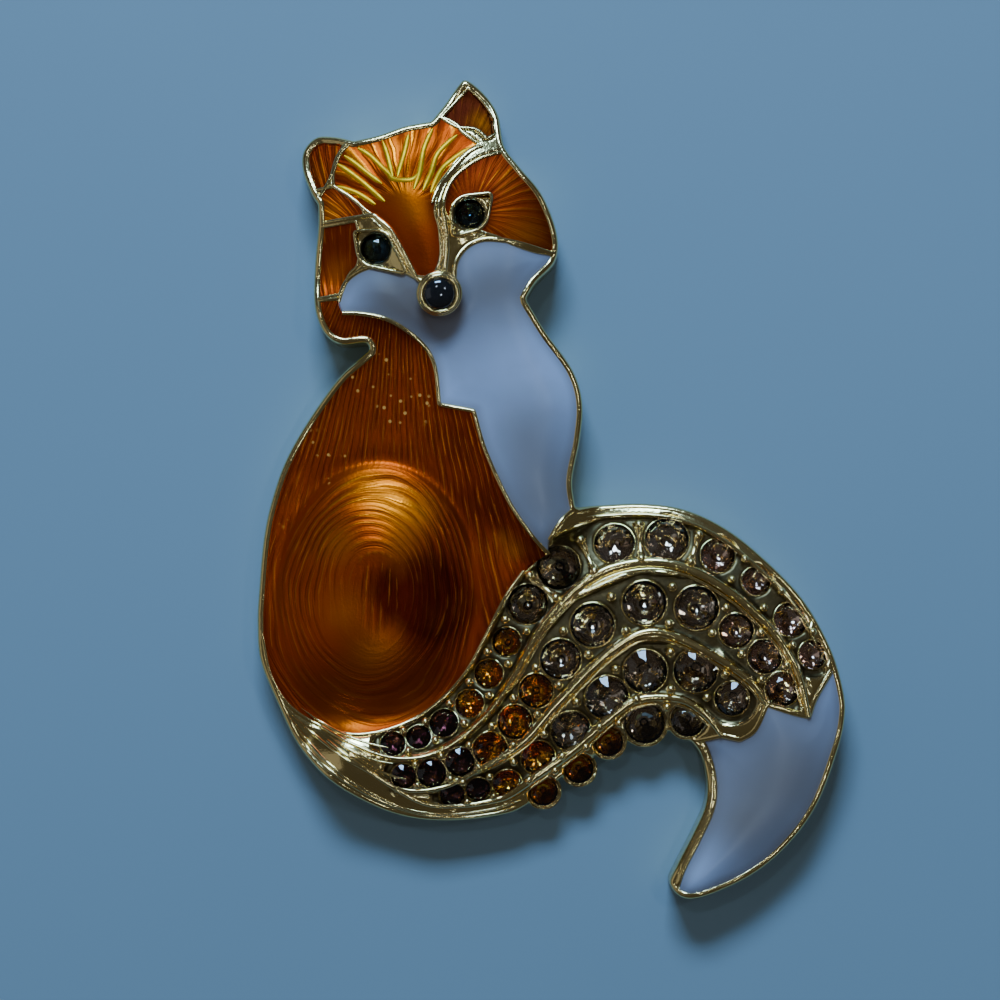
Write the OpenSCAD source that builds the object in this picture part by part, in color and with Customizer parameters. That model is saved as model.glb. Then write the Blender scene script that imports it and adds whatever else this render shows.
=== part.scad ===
// Fox brooch: a hollow-backed casting with enamel cells, a tail of set stones and a pin at the back.
// It lies on its back: X runs across, Y up the figure and Z out of its face, from the rim it rests on.

/* [Figure] */
// Width across the figure
brooch_w = 43; // [40:0.5:46]
// Height of the figure, from the tail's tip to the right ear's
brooch_h = 60; // [56:0.5:64]
// Height of the casting's outer edge above the surface it lies on
edge_h = 2.8; // [2.5:0.1:3.2]
// Rise of the fullest swell above the edge
swell_h = 3.2; // [2.8:0.1:3.6]
// Depth of metal between the face and the hollow back
shell_t = 2; // [1.8:0.05:2.2]
// Width of the solid skirt round the hollow back
skirt_w = 1.3; // [1.1:0.1:1.6]

/* [Enamel] */
// Width of the gold rim round the body's, chest's and tail tip's cells
rim_w = 0.6; // [0.45:0.05:0.75]
// Width of the gold rim round the face's cells
face_rim_w = 0.35; // [0.25:0.05:0.5]
// Width of the gold line between two cells
line_w = 0.35; // [0.25:0.05:0.5]
// Depth of the cells below the gold
cell_depth = 0.55; // [0.45:0.05:0.7]
// Drop of the enamel's surface below the gold
enamel_drop = 0.1; // [0.05:0.05:0.2]
// Clearance between a fitted piece and its seat
fit_gap = 0.05; // [0.03:0.01:0.08]

/* [Stones] */
// Diameter of the tiniest stones
stone_xs_d = 1.8; // [1.65:0.05:1.95]
// Diameter of the small stones
stone_s_d = 2.1; // [1.95:0.05:2.25]
// Diameter of the middling stones
stone_m_d = 2.5; // [2.35:0.05:2.65]
// Diameter of the large stones
stone_l_d = 2.95; // [2.8:0.05:3.1]
// Diameter of the largest stones
stone_xl_d = 3.2; // [3.05:0.05:3.35]
// Width of a stone's table as a share of its diameter
table_share = 0.56; // [0.5:0.02:0.62]
// Height of a stone's crown as a share of its diameter
crown_share = 0.17; // [0.14:0.01:0.2]
// Height of a stone's girdle
girdle_h = 0.15; // [0.1:0.05:0.25]
// Depth of a stone's pavilion as a share of its diameter
pavilion_share = 0.24; // [0.2:0.01:0.26]
// Width of a stone's flat back as a share of its diameter
back_share = 0.45; // [0.4:0.05:0.55]
// Depth of the stones' beds below the tail's ridges
bed_depth = 0.5; // [0.4:0.05:0.6]
// Margin of a bed beyond its stones
bed_margin = 0.25; // [0.15:0.05:0.35]
// Width of the tail's ridges between the beds
ridge_w = 0.5; // [0.4:0.05:0.6]
// Wall round the edge stones' seats
cup_w = 0.3; // [0.25:0.05:0.4]

/* [Face] */
// Diameter of the nose ball
nose_d = 2.35; // [2.1:0.05:2.6]
// Rise of the nose ball's dome
nose_rise = 0.6; // [0.45:0.05:0.75]
// Depth of the nose's seat below the snout
nose_sunk = 0.3; // [0.2:0.05:0.4]
// Wall of the collar round the nose
collar_w = 0.36; // [0.3:0.02:0.44]
// Height of the nose's collar above the snout
collar_h = 0.5; // [0.4:0.05:0.6]
// Diameter of the eye stones
eye_d = 2.1; // [1.9:0.05:2.3]
// Wall of the sockets round the eyes
socket_w = 0.3; // [0.24:0.02:0.38]
// Height of the eye sockets above the face
socket_h = 0.25; // [0.2:0.05:0.35]

// Width of the gold ledge round the nose's collar and the eye sockets
ledge_w = 0.1; // [0.08:0.02:0.16]

/* [Pin] */
// Length of the pin's bar
pin_l = 22; // [20:0.5:24]
// Width of the pin's bar
pin_w = 3; // [2.6:0.1:3.4]
// Thickness of the pin's bar
pin_t = 0.6; // [0.5:0.05:0.7]
// Diameter of the pin's stem
stem_d = 0.9; // [0.8:0.05:1]
// Height of the bar's lower face above the surface the brooch lies on
pin_z = 1.6; // [1.5:0.05:1.7]
// Diameter of the two cast bosses that carry the bar
boss_d = 2.4; // [2:0.1:2.8]

/* [Hidden] */
tall = edge_h + 2 * swell_h;
face_step = 2.6;
hollow_step = 5;
// Keeps the surface's lines off the round places of the outlines' points.
mesh_shift = [0.291, 0.165] * face_step;
bends = 2;
stone_sides = 8;
blend = 4;

// Outlines and routes: [share across the width, share up the height, 1 at a sharp corner], in thousandths.
outline = [
    [355, 1000], [379, 988], [400, 970], [412, 951], [420, 917], [447, 890], [485, 856], [510, 810],
    [507, 776], [474, 749], [457, 729, 1], [491, 689], [536, 644], [553, 604], [549, 559], [536, 510],
    [541, 476, 1], [583, 479], [656, 481], [726, 474], [794, 452], [857, 417], [927, 365], [973, 307],
    [996, 254], [999, 221], [986, 180], [949, 111], [889, 56], [820, 21], [736, 0], [702, 17],
    [713, 40], [741, 79], [762, 113], [765, 144], [753, 177], [726, 198], [692, 204], [626, 199],
    [570, 172], [515, 146], [461, 115], [420, 102], [342, 95], [265, 98], [199, 113], [126, 144],
    [71, 185], [32, 241], [5, 290], [0, 333], [2, 370], [10, 437], [24, 485], [48, 534],
    [87, 583], [137, 632], [172, 655], [192, 667, 1], [185, 676], [146, 674], [121, 683], [105, 702],
    [97, 729], [98, 772], [104, 817], [104, 845, 1], [92, 859], [77, 888], [78, 912], [100, 929],
    [133, 929], [165, 923, 1], [209, 930], [252, 941], [296, 947, 1], [320, 970], [342, 993]];
chest_seam = [
    [146, 712, 1], [179, 711], [226, 703], [274, 680], [301, 651], [310, 601, 1], [369, 593, 1],
    [389, 544], [429, 482], [468, 441], [495, 420, 1]];
haunch_seam = [
    [454, 399], [422, 367], [391, 323], [355, 276], [306, 238], [248, 212], [175, 200], [111, 209],
    [56, 234], [24, 270], [10, 315], [-3, 363, 1]];
jag = [
    [730, 190, 1], [789, 200, 1], [820, 195, 1], [844, 207], [864, 238, 1], [906, 228], [935, 223, 1],
    [946, 245], [973, 277, 1]];
body_cell = concat(
    [[90, 727, 1], [138, 730, 1]], chest_seam, haunch_seam,
    [[-40, 480, 1], [60, 650, 1]]);
chest_cell = concat(
    [[139, 726], [151, 749], [172, 762], [197, 768], [226, 768], [260, 759], [284, 748, 1],
     [311, 734, 1], [335, 752, 1], [338, 772], [354, 790], [381, 800], [415, 800], [451, 795],
     [502, 785, 1], [526, 785, 1], [583, 729, 1], [570, 488, 1], [544, 477, 1], [517, 460], [497, 437]],
    [for (i = [len(chest_seam) - 1:-1:0]) chest_seam[i]]);
tip_cell = concat(jag, [[1010, 280, 1], [1010, -10, 1], [694, -10, 1], [694, 22, 1], [736, 120, 1]]);
forehead_cell = [
    [131, 867, 1], [131, 885], [145, 910], [175, 926], [235, 944], [304, 952], [337, 944], [350, 933],
    [378, 918, 1], [350, 904], [327, 884], [304, 841], [311, 812], [313, 780], [303, 759], [286, 754],
    [265, 759], [250, 779], [219, 815], [179, 841], [158, 854]];
temple_cell = [
    [100, 817, 1], [104, 863, 1], [131, 867, 1], [158, 854], [179, 841], [185, 828, 1], [158, 823],
    [133, 820]];
left_cheek_cell = [
    [100, 817, 1], [141, 822], [170, 824, 1], [175, 805], [173, 772], [158, 759], [143, 735, 1],
    [100, 729, 1], [90, 775, 1]];
right_cheek_cell = [
    [418, 909, 1], [384, 902], [357, 890], [337, 877], [323, 859], [318, 837], [332, 822], [376, 811],
    [406, 804], [437, 795], [469, 788], [502, 785, 1], [507, 807], [503, 834], [473, 873], [434, 902, 1]];
left_ear_cell = [
    [78, 929, 1], [155, 924, 1], [136, 902], [126, 878], [107, 854, 1], [73, 885], [70, 906]];
right_ear_cell = [
    [359, 990, 1], [313, 952, 1], [340, 940], [372, 937], [391, 925, 1], [410, 933, 1], [406, 948],
    [384, 973]];

// Ridges of the tail, between its beds, from the haunch to the tail's tip.
ridges = [
    [[111, 209], [167, 188], [236, 172], [306, 179], [379, 216], [432, 265], [483, 330], [544, 378],
     [610, 404], [691, 409], [772, 388], [857, 340], [912, 284], [935, 223]],
    [[121, 193], [190, 157], [248, 134], [318, 137], [379, 159], [449, 190], [509, 238], [587, 294],
     [652, 323], [707, 320], [782, 293], [840, 263], [864, 238]],
    [[432, 128], [473, 149], [537, 182], [602, 222], [649, 243], [718, 243], [760, 225], [789, 200]]];

// Rows of stones: route of their centres, then each stone's size, its share of the row's free room before
// it and its tint, in order from the haunch. Sizes: 0 tiniest, 1 small, 2 middling, 3 large, 4 largest.
// Tints: 0 amethyst, 1 amber, 2 champagne, 3 peach.
stone_ds = [stone_xs_d, stone_s_d, stone_m_d, stone_l_d, stone_xl_d];
tints = ["#4a2f45", "#b06a1c", "#8f8375", "#d9a98c"];
rows = [
    [[[232, 189], [272, 196], [311, 211], [357, 233], [391, 270], [422, 309], [457, 355], [508, 401],
      [605, 432], [696, 437], [782, 418], [847, 387], [906, 340], [943, 297]],
     [[0, 0, 0], [0, 2, 0], [1, 2, 0], [1, 4, 1], [1, 7, 1], [1, 8, 1], [3, 9, 2], [4, 6, 2],
      [3, 20, 2], [4, 11, 2], [2, 15, 3], [1, 15, 3], [2, 21, 3], [1, 10, 3]]],
    [[[250, 150], [295, 153], [338, 166], [389, 178], [432, 209], [466, 246], [507, 283], [558, 328],
      [650, 360], [744, 355], [813, 327], [862, 295], [891, 256]],
     [[0, 0, 0], [1, 2, 0], [1, 2, 0], [2, 2, 1], [2, 3, 1], [2, 4, 1], [3, 3, 2], [4, 6, 2],
      [4, 16, 2], [4, 11, 2], [2, 8, 3], [2, 5, 3], [2, 3, 3]]],
    [[[332, 127], [376, 134], [425, 141], [478, 173], [532, 204], [594, 245], [659, 277], [745, 278],
      [806, 244]],
     [[0, 0, 0], [0, 2, 0], [1, 3, 1], [2, 9, 1], [3, 5, 2], [4, 7, 2], [4, 3, 2], [4, 7, 2],
      [2, 7, 2]]],
    [[[487, 130], [547, 157], [597, 190], [658, 213], [733, 218]],
     [[1, 0, 1], [1, 13, 1], [1, 11, 1], [3, 6, 2], [2, 6, 2]]]];
edge_row = 3;

// Swells of the face: name, share of swell_h, and a route of [across, up, reach across the width].
swells = [
    ["haunch", 1, [[215, 415, 175], [200, 340, 185]]],
    ["back", 0.5, [[145, 710, 90], [240, 640, 160], [280, 540, 210], [300, 440, 240], [330, 380, 230]]],
    ["chest", 0.72, [[410, 700, 140], [450, 600, 150], [440, 520, 140], [480, 460, 90]]],
    ["head", 0.72, [[260, 830, 210], [330, 820, 220]]],
    ["snout", 1, [[270, 850, 90], [311, 740, 85]]],
    ["right cheek", 0.72, [[410, 830, 130], [410, 770, 120]]],
    ["left muzzle", 0.7, [[220, 735, 90], [280, 720, 90]]],
    ["tail", 0.6, [[70, 225, 50], [160, 168, 75], [294, 162, 105], [413, 199, 135], [507, 266, 165],
                   [600, 327, 195], [694, 345, 205], [787, 321, 195], [864, 266, 170]]],
    ["tip", 0.5, [[864, 266, 170], [898, 193, 128], [864, 120, 102], [796, 59, 76], [745, 22, 48]]]];

nose_at = [311, 734];
// Eyes: place, then the outer and inner corner of the socket.
eyes = [
    [[202, 790], [172, 808], [250, 763]],
    [[362, 832], [394, 853], [338, 808]]];
corner_r = 0.3;
pin_middle = [330, 505];
pin_turn = 4;
boss_share = 0.32;

stone_names = [
    for (r = [0:len(rows) - 1]) for (i = [0:len(rows[r][1]) - 1]) str("stone_", r + 1, "_", i + 1)];

// A point in shares as a place in millimetres.
function place(share) = [(share[0] / 1000 - 0.5) * brooch_w, (share[1] / 1000 - 0.5) * brooch_h];

// A smooth curve through the rows of a table, with sharp corners where it marks them.
function row_at(table, i, closed) =
    table[closed ? (i + len(table)) % len(table) : max(0, min(len(table) - 1, i))];
function slope_at(table, i, way, closed) =
    let (here = place(row_at(table, i, closed)))
    row_at(table, i, closed)[2] == 1
        ? way * (place(row_at(table, i + way, closed)) - here)
        : (place(row_at(table, i + 1, closed)) - place(row_at(table, i - 1, closed))) / 2;
function curve_point(a, slope_a, b, slope_b, t) =
    (2 * t^3 - 3 * t^2 + 1) * a + (t^3 - 2 * t^2 + t) * slope_a
    + (3 * t^2 - 2 * t^3) * b + (t^3 - t^2) * slope_b;
function curve(table, closed = false) = concat(
    [for (i = [0:len(table) - (closed ? 1 : 2)]) for (k = [0:bends - 1])
        curve_point(place(table[i]), slope_at(table, i, 1, closed),
                    place(row_at(table, i + 1, closed)), slope_at(table, i + 1, -1, closed), k / bends)],
    closed ? [] : [place(table[len(table) - 1])]);

// Height of the face above the lying surface: the edge's height and the blended swells.
function sum(list, i = 0) = i < len(list) ? list[i] + sum(list, i + 1) : 0;
function swell_along(p, a, b) =
    let (pa = place(a), way = place(b) - pa, t = max(0, min(1, (p - pa) * way / (way * way))),
         reach = (a[2] + t * (b[2] - a[2])) / 1000 * brooch_w, off = norm(p - pa - t * way) / reach)
    max(0, 1 - off * off);
function swell_share(p, swell) =
    swell[1] * max([for (i = [1:len(swell[2]) - 1]) swell_along(p, swell[2][i - 1], swell[2][i])]);
function face_z(p) =
    edge_h + swell_h * pow(sum([for (swell = swells) pow(swell_share(p, swell), blend)]), 1 / blend);
function face_lean(p, reach) = [
    (face_z(p - [reach, 0]) - face_z(p + [reach, 0])) / (2 * reach),
    (face_z(p - [0, reach]) - face_z(p + [0, reach])) / (2 * reach)];

// Stones of one row: the free room is what the stones leave of the route.
function stone_d(r, i) = stone_ds[rows[r][1][i][0]];
function stations(points, i = 0, done = 0) =
    i == len(points) - 1
        ? [done]
        : concat([done], stations(points, i + 1, done + norm(points[i + 1] - points[i])));
function point_at(points, marks, s, i = 0) =
    i == len(points) - 2 || s < marks[i + 1]
        ? points[i] + (points[i + 1] - points[i]) * (s - marks[i]) / (marks[i + 1] - marks[i])
        : point_at(points, marks, s, i + 1);
function filled(r, n) =
    n == 0 ? 0 : sum([for (i = [1:n]) (stone_d(r, i - 1) + stone_d(r, i)) / 2]);
function room_share(r, n) = n == 0 ? 0 : sum([for (i = [1:n]) rows[r][1][i][1]]);
function stone_spot(r, i) =
    let (points = curve(rows[r][0]), marks = stations(points), last = len(rows[r][1]) - 1,
         free = marks[len(marks) - 1] - filled(r, last))
    point_at(points, marks, filled(r, i) + free * room_share(r, i) / room_share(r, last));

// Moves its children to a spot on the face, sunk below the gold and square to the face there.
module on_face(p, reach, sunk = 0) {
    lean = face_lean(p, reach);
    translate([p[0], p[1], face_z(p) - sunk])
        rotate([0, atan(norm(lean)), atan2(lean[1], lean[0])])
            children();
}

// Everything below the face, down past the lying surface.
module under_face(drop = 0, step = face_step) {
    columns = ceil(brooch_w / step) + 3;
    lines = ceil(brooch_h / step) + 3;
    corner = [-columns, -lines] * step / 2 + mesh_shift;
    spots = [for (j = [0:lines]) for (i = [0:columns]) corner + [i, j] * step];
    edge = concat(
        [for (i = [0:columns - 1]) i], [for (j = [0:lines - 1]) columns + j * (columns + 1)],
        [for (i = [columns:-1:1]) i + lines * (columns + 1)], [for (j = [lines:-1:1]) j * (columns + 1)]);
    tops = len(spots);
    translate([0, 0, -drop]) polyhedron(
        points = concat(
            [for (p = spots) [p[0], p[1], face_z(p)]],
            [for (k = edge) [spots[k][0], spots[k][1], -1]]),
        faces = concat(
            [for (j = [0:lines - 1]) for (i = [0:columns - 1])
                let (k = i + j * (columns + 1)) [k, k + columns + 2, k + 1]],
            [for (j = [0:lines - 1]) for (i = [0:columns - 1])
                let (k = i + j * (columns + 1)) [k, k + columns + 1, k + columns + 2]],
            [for (k = [0:len(edge) - 1])
                let (next = (k + 1) % len(edge)) [edge[k], edge[next], tops + next, tops + k]],
            [[for (k = [0:len(edge) - 1]) tops + k]]),
        convexity = 8);
}

// A ribbon along a route, mitred at its bends, with one width or a width for each point.
function unit(v) = v / norm(v);
function mitre(points, i, closed) =
    let (n = len(points), here = points[i],
         back = closed || i > 0 ? unit(here - points[(i + n - 1) % n]) : unit(points[1] - here),
         next = closed || i < n - 1 ? unit(points[(i + 1) % n] - here) : back,
         way = unit(back + next))
    [-way[1], way[0]] / max(0.5, way * next);
module ribbon(points, width, closed = false) {
    n = len(points);
    sides = [for (i = [0:n - 1]) mitre(points, i, closed) * (is_list(width) ? width[i] : width) / 2];
    for (i = [0:n - (closed ? 1 : 2)]) {
        k = (i + 1) % n;
        hull() polygon([
            points[i] + sides[i], points[k] + sides[k], points[k] - sides[k], points[i] - sides[i]]);
    }
}

module outline_2d() {
    polygon(curve(outline, true));
    for (i = [0:len(rows[edge_row][1]) - 1])
        translate(stone_spot(edge_row, i)) circle(d = stone_d(edge_row, i) + 2 * cup_w, $fn = 16);
}

// A cell inside the gold: grown is negative for the enamel that fills it.
module cell_2d(table, rim, grown = 0) {
    points = curve(table, true);
    difference() {
        intersection() {
            offset(delta = grown - rim) polygon(curve(outline, true));
            polygon(points);
        }
        ribbon(points, line_w - 2 * grown, true);
        translate(place(nose_at)) circle(d = nose_d + 2 * (collar_w + ledge_w - grown), $fn = 16);
        for (eye = eyes) socket_2d(eye, ledge_w - grown);
    }
}

module socket_2d(eye, grown = 0) {
    for (corner = [eye[1], eye[2]]) hull() {
        translate(place(eye[0])) circle(d = eye_d + 2 * socket_w + 2 * grown, $fn = 16);
        translate(place(corner)) circle(r = corner_r + grown, $fn = 8);
    }
}

module bed_2d(r) {
    last = len(rows[r][1]) - 1;
    spots = [for (i = [0:last]) stone_spot(r, i)];
    widths = [for (i = [0:last]) stone_d(r, i) + 2 * bed_margin];
    ribbon(spots, widths);
    for (i = [0, last]) translate(spots[i]) circle(d = widths[i], $fn = stone_sides);
}

// What is cut out of the gold between its face and a depth below it.
module sunk(depth) {
    difference() {
        linear_extrude(tall) children();
        under_face(depth);
    }
}

module cut_stone(d) {
    back = -pavilion_share * d;
    cylinder(h = girdle_h, d = d, $fn = stone_sides);
    translate([0, 0, girdle_h])
        cylinder(h = crown_share * d, d1 = d, d2 = table_share * d, $fn = stone_sides);
    translate([0, 0, back]) cylinder(h = -back, d1 = back_share * d, d2 = d, $fn = stone_sides);
}

// The seat follows the stone with the fit's clearance all round: tapered below the girdle, straight above.
module stone_seat(d) {
    depth = pavilion_share * d + fit_gap;
    wide = d + 2 * fit_gap;
    foot = back_share * d + 2 * fit_gap;
    translate([0, 0, -depth]) cylinder(h = depth, d1 = foot, d2 = wide, $fn = stone_sides);
    cylinder(h = tall, d = wide, $fn = stone_sides);
}

// Stones stand square to the face, and those of the edge row upright, clear of the bed beside them.
module at_stone(r, i) {
    spot = stone_spot(r, i);
    if (r == edge_row)
        translate([spot[0], spot[1], face_z(spot) - bed_depth]) children();
    else
        on_face(spot, stone_d(r, i) / 2, bed_depth) children();
}

module stone(r, i) {
    color(tints[rows[r][1][i][2]]) at_stone(r, i) cut_stone(stone_d(r, i));
}

module pin_bosses() {
    for (way = [-1, 1])
        translate([0, way * boss_share * pin_l, pin_z + pin_t + fit_gap])
            cylinder(h = tall, d = boss_d, $fn = 16);
}

module at_pin() {
    translate(place(pin_middle)) rotate(-pin_turn) children();
}

module casting() {
    color("#d9c48c") difference() {
        union() {
            difference() {
                intersection() {
                    linear_extrude(tall) outline_2d();
                    under_face();
                }
                intersection() {
                    translate([0, 0, -1]) linear_extrude(tall)
                        offset(delta = -skirt_w) polygon(curve(outline, true));
                    under_face(shell_t, hollow_step);
                }
            }
            intersection() {
                at_pin() pin_bosses();
                under_face(shell_t / 2, hollow_step);
            }
            on_face(place(nose_at), nose_d / 2, shell_t / 2)
                cylinder(h = shell_t / 2 + collar_h, d = nose_d + 2 * collar_w, $fn = 16);
            intersection() {
                sunk(shell_t / 2) for (eye = eyes) socket_2d(eye);
                under_face(-socket_h);
            }
        }
        sunk(cell_depth) cell_2d(body_cell, rim_w);
        sunk(cell_depth) cell_2d(chest_cell, rim_w);
        sunk(cell_depth) cell_2d(tip_cell, rim_w);
        sunk(cell_depth) cell_2d(forehead_cell, face_rim_w);
        sunk(cell_depth) cell_2d(temple_cell, face_rim_w);
        sunk(cell_depth) cell_2d(left_cheek_cell, face_rim_w);
        sunk(cell_depth) cell_2d(right_cheek_cell, face_rim_w);
        sunk(cell_depth) cell_2d(left_ear_cell, face_rim_w);
        sunk(cell_depth) cell_2d(right_ear_cell, face_rim_w);
        sunk(bed_depth) difference() {
            for (r = [0:edge_row - 1]) bed_2d(r);
            for (ridge = ridges) ribbon(curve(ridge), ridge_w);
        }
        for (r = [0:len(rows) - 1]) for (i = [0:len(rows[r][1]) - 1])
            at_stone(r, i) stone_seat(stone_d(r, i));
        for (eye = eyes) on_face(place(eye[0]), eye_d / 2, bed_depth) stone_seat(eye_d);
        on_face(place(nose_at), nose_d / 2, nose_sunk)
            cylinder(h = tall, d = nose_d + 2 * fit_gap, $fn = 16);
    }
}

// Enamel that fills a cell up to just below the gold.
module enamel(table, rim) {
    difference() {
        intersection() {
            linear_extrude(tall) cell_2d(table, rim, -fit_gap);
            under_face(enamel_drop);
        }
        under_face(cell_depth - fit_gap);
    }
}

module enamel_body() { color("#c8560f") enamel(body_cell, rim_w); }
module enamel_chest() { color("#e9ebf2") enamel(chest_cell, rim_w); }
module enamel_tail_tip() { color("#e9ebf2") enamel(tip_cell, rim_w); }
module enamel_forehead() { color("#e07a1a") enamel(forehead_cell, face_rim_w); }
module enamel_temple() { color("#d8731a") enamel(temple_cell, face_rim_w); }
module enamel_cheek_left() { color("#b8480e") enamel(left_cheek_cell, face_rim_w); }
module enamel_cheek_right() { color("#c25a12") enamel(right_cheek_cell, face_rim_w); }
module enamel_ear_left() { color("#b24a14") enamel(left_ear_cell, face_rim_w); }
module enamel_ear_right() { color("#a8420f") enamel(right_ear_cell, face_rim_w); }

// The nose is a black cap: a low dome on a short barrel that stands in the collar.
module nose() {
    dome_r = (pow(nose_d / 2, 2) + pow(nose_rise, 2)) / (2 * nose_rise);
    color("#111111") on_face(place(nose_at), nose_d / 2, nose_sunk - fit_gap) {
        cylinder(h = nose_sunk + collar_h - nose_rise / 2, d = nose_d, $fn = 48);
        intersection() {
            translate([0, 0, nose_sunk + collar_h + nose_rise / 2 - dome_r]) sphere(r = dome_r, $fn = 48);
            cylinder(h = nose_d, d = nose_d, $fn = 48);
        }
    }
}

module eye_left() { color("#14161c") on_face(place(eyes[0][0]), eye_d / 2, bed_depth) cut_stone(eye_d); }
module eye_right() { color("#14161c") on_face(place(eyes[1][0]), eye_d / 2, bed_depth) cut_stone(eye_d); }

module pin_back() {
    hinge_y = -pin_l / 2 + pin_w / 2;
    color("#cdbb86") at_pin() {
        translate([-pin_w / 2, -pin_l / 2, pin_z]) cube([pin_w, pin_l, pin_t]);
        for (y = [hinge_y, -hinge_y])
            translate([-stem_d, y - pin_w / 2, pin_z - stem_d - fit_gap])
                cube([2 * stem_d, pin_w, stem_d + 2 * fit_gap]);
        translate([0, hinge_y, pin_z - stem_d / 2 - fit_gap]) rotate([-90, 0, 0])
            cylinder(h = pin_l - pin_w, d = stem_d, $fn = 32);
    }
}

casting();
enamel_body();
enamel_chest();
enamel_tail_tip();
enamel_forehead();
enamel_temple();
enamel_cheek_left();
enamel_cheek_right();
enamel_ear_left();
enamel_ear_right();
nose();
eye_left();
eye_right();
pin_back();
for (r = [0:len(rows) - 1]) for (i = [0:len(rows[r][1]) - 1])
    stone(r, i);
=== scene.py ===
import math
from collections import namedtuple
from functools import cache

import bpy
import numpy as np
from bpy.props import FloatProperty, FloatVectorProperty, IntProperty, PointerProperty
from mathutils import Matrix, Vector
from mathutils.geometry import convex_hull_2d


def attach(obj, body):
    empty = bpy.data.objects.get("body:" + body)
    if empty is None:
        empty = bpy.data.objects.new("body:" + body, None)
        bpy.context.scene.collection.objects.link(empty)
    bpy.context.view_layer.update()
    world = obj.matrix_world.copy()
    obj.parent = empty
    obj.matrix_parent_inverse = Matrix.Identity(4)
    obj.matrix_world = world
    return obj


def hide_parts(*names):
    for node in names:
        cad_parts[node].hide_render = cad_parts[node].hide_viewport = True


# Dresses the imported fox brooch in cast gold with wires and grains, orange and white enamel, and cut stones.
# Places are in millimetres until a mesh is made. The tables repeat the source's paths in thousandths of
# the figure's width and height, with a third number where a path has a sharp corner.

bl_info = {
    "name": "Fox Brooch Finish",
    "version": (1, 0, 0),
    "blender": (4, 5, 0),
    "location": "3D View > Sidebar > Brooch",
    "description": "Builds the enamel, wires, grains and stones of a fox brooch around its packed model",
    "category": "Object",
}

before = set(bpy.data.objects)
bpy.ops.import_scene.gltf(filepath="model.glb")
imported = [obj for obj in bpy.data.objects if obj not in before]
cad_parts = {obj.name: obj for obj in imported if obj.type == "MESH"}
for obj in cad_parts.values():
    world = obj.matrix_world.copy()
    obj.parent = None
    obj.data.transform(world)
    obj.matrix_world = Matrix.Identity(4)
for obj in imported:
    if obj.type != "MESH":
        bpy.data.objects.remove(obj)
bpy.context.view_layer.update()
MM = 0.001
BODY = "root"

OUTLINE = [
    [355, 1000], [379, 988], [400, 970], [412, 951], [420, 917], [447, 890], [485, 856], [510, 810],
    [507, 776], [474, 749], [457, 729, 1], [491, 689], [536, 644], [553, 604], [549, 559], [536, 510],
    [541, 476, 1], [583, 479], [656, 481], [726, 474], [794, 452], [857, 417], [927, 365], [973, 307],
    [996, 254], [999, 221], [986, 180], [949, 111], [889, 56], [820, 21], [736, 0], [702, 17],
    [713, 40], [741, 79], [762, 113], [765, 144], [753, 177], [726, 198], [692, 204], [626, 199],
    [570, 172], [515, 146], [461, 115], [420, 102], [342, 95], [265, 98], [199, 113], [126, 144],
    [71, 185], [32, 241], [5, 290], [0, 333], [2, 370], [10, 437], [24, 485], [48, 534],
    [87, 583], [137, 632], [172, 655], [192, 667, 1], [185, 676], [146, 674], [121, 683], [105, 702],
    [97, 729], [98, 772], [104, 817], [104, 845, 1], [92, 859], [77, 888], [78, 912], [100, 929],
    [133, 929], [165, 923, 1], [209, 930], [252, 941], [296, 947, 1], [320, 970], [342, 993]]
CHEST_SEAM = [
    [146, 712, 1], [179, 711], [226, 703], [274, 680], [301, 651], [310, 601, 1], [369, 593, 1],
    [389, 544], [429, 482], [468, 441], [495, 420, 1]]
HAUNCH_SEAM = [
    [454, 399], [422, 367], [391, 323], [355, 276], [306, 238], [248, 212], [175, 200], [111, 209],
    [56, 234], [24, 270], [10, 315], [-3, 363, 1]]
JAG = [
    [730, 190, 1], [789, 200, 1], [820, 195, 1], [844, 207], [864, 238, 1], [906, 228], [935, 223, 1],
    [946, 245], [973, 277, 1]]
MUZZLE_LEFT = [[139, 726], [151, 749], [172, 762], [197, 768], [226, 768], [260, 759], [284, 748, 1]]
MUZZLE_RIGHT = [
    [335, 752, 1], [338, 772], [354, 790], [381, 800], [415, 800], [451, 795], [502, 785, 1]]
CHEST_FOOT = [[570, 488, 1], [544, 477, 1], [517, 460], [497, 437]]
NECK = [[90, 727, 1], [138, 730, 1]]
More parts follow.
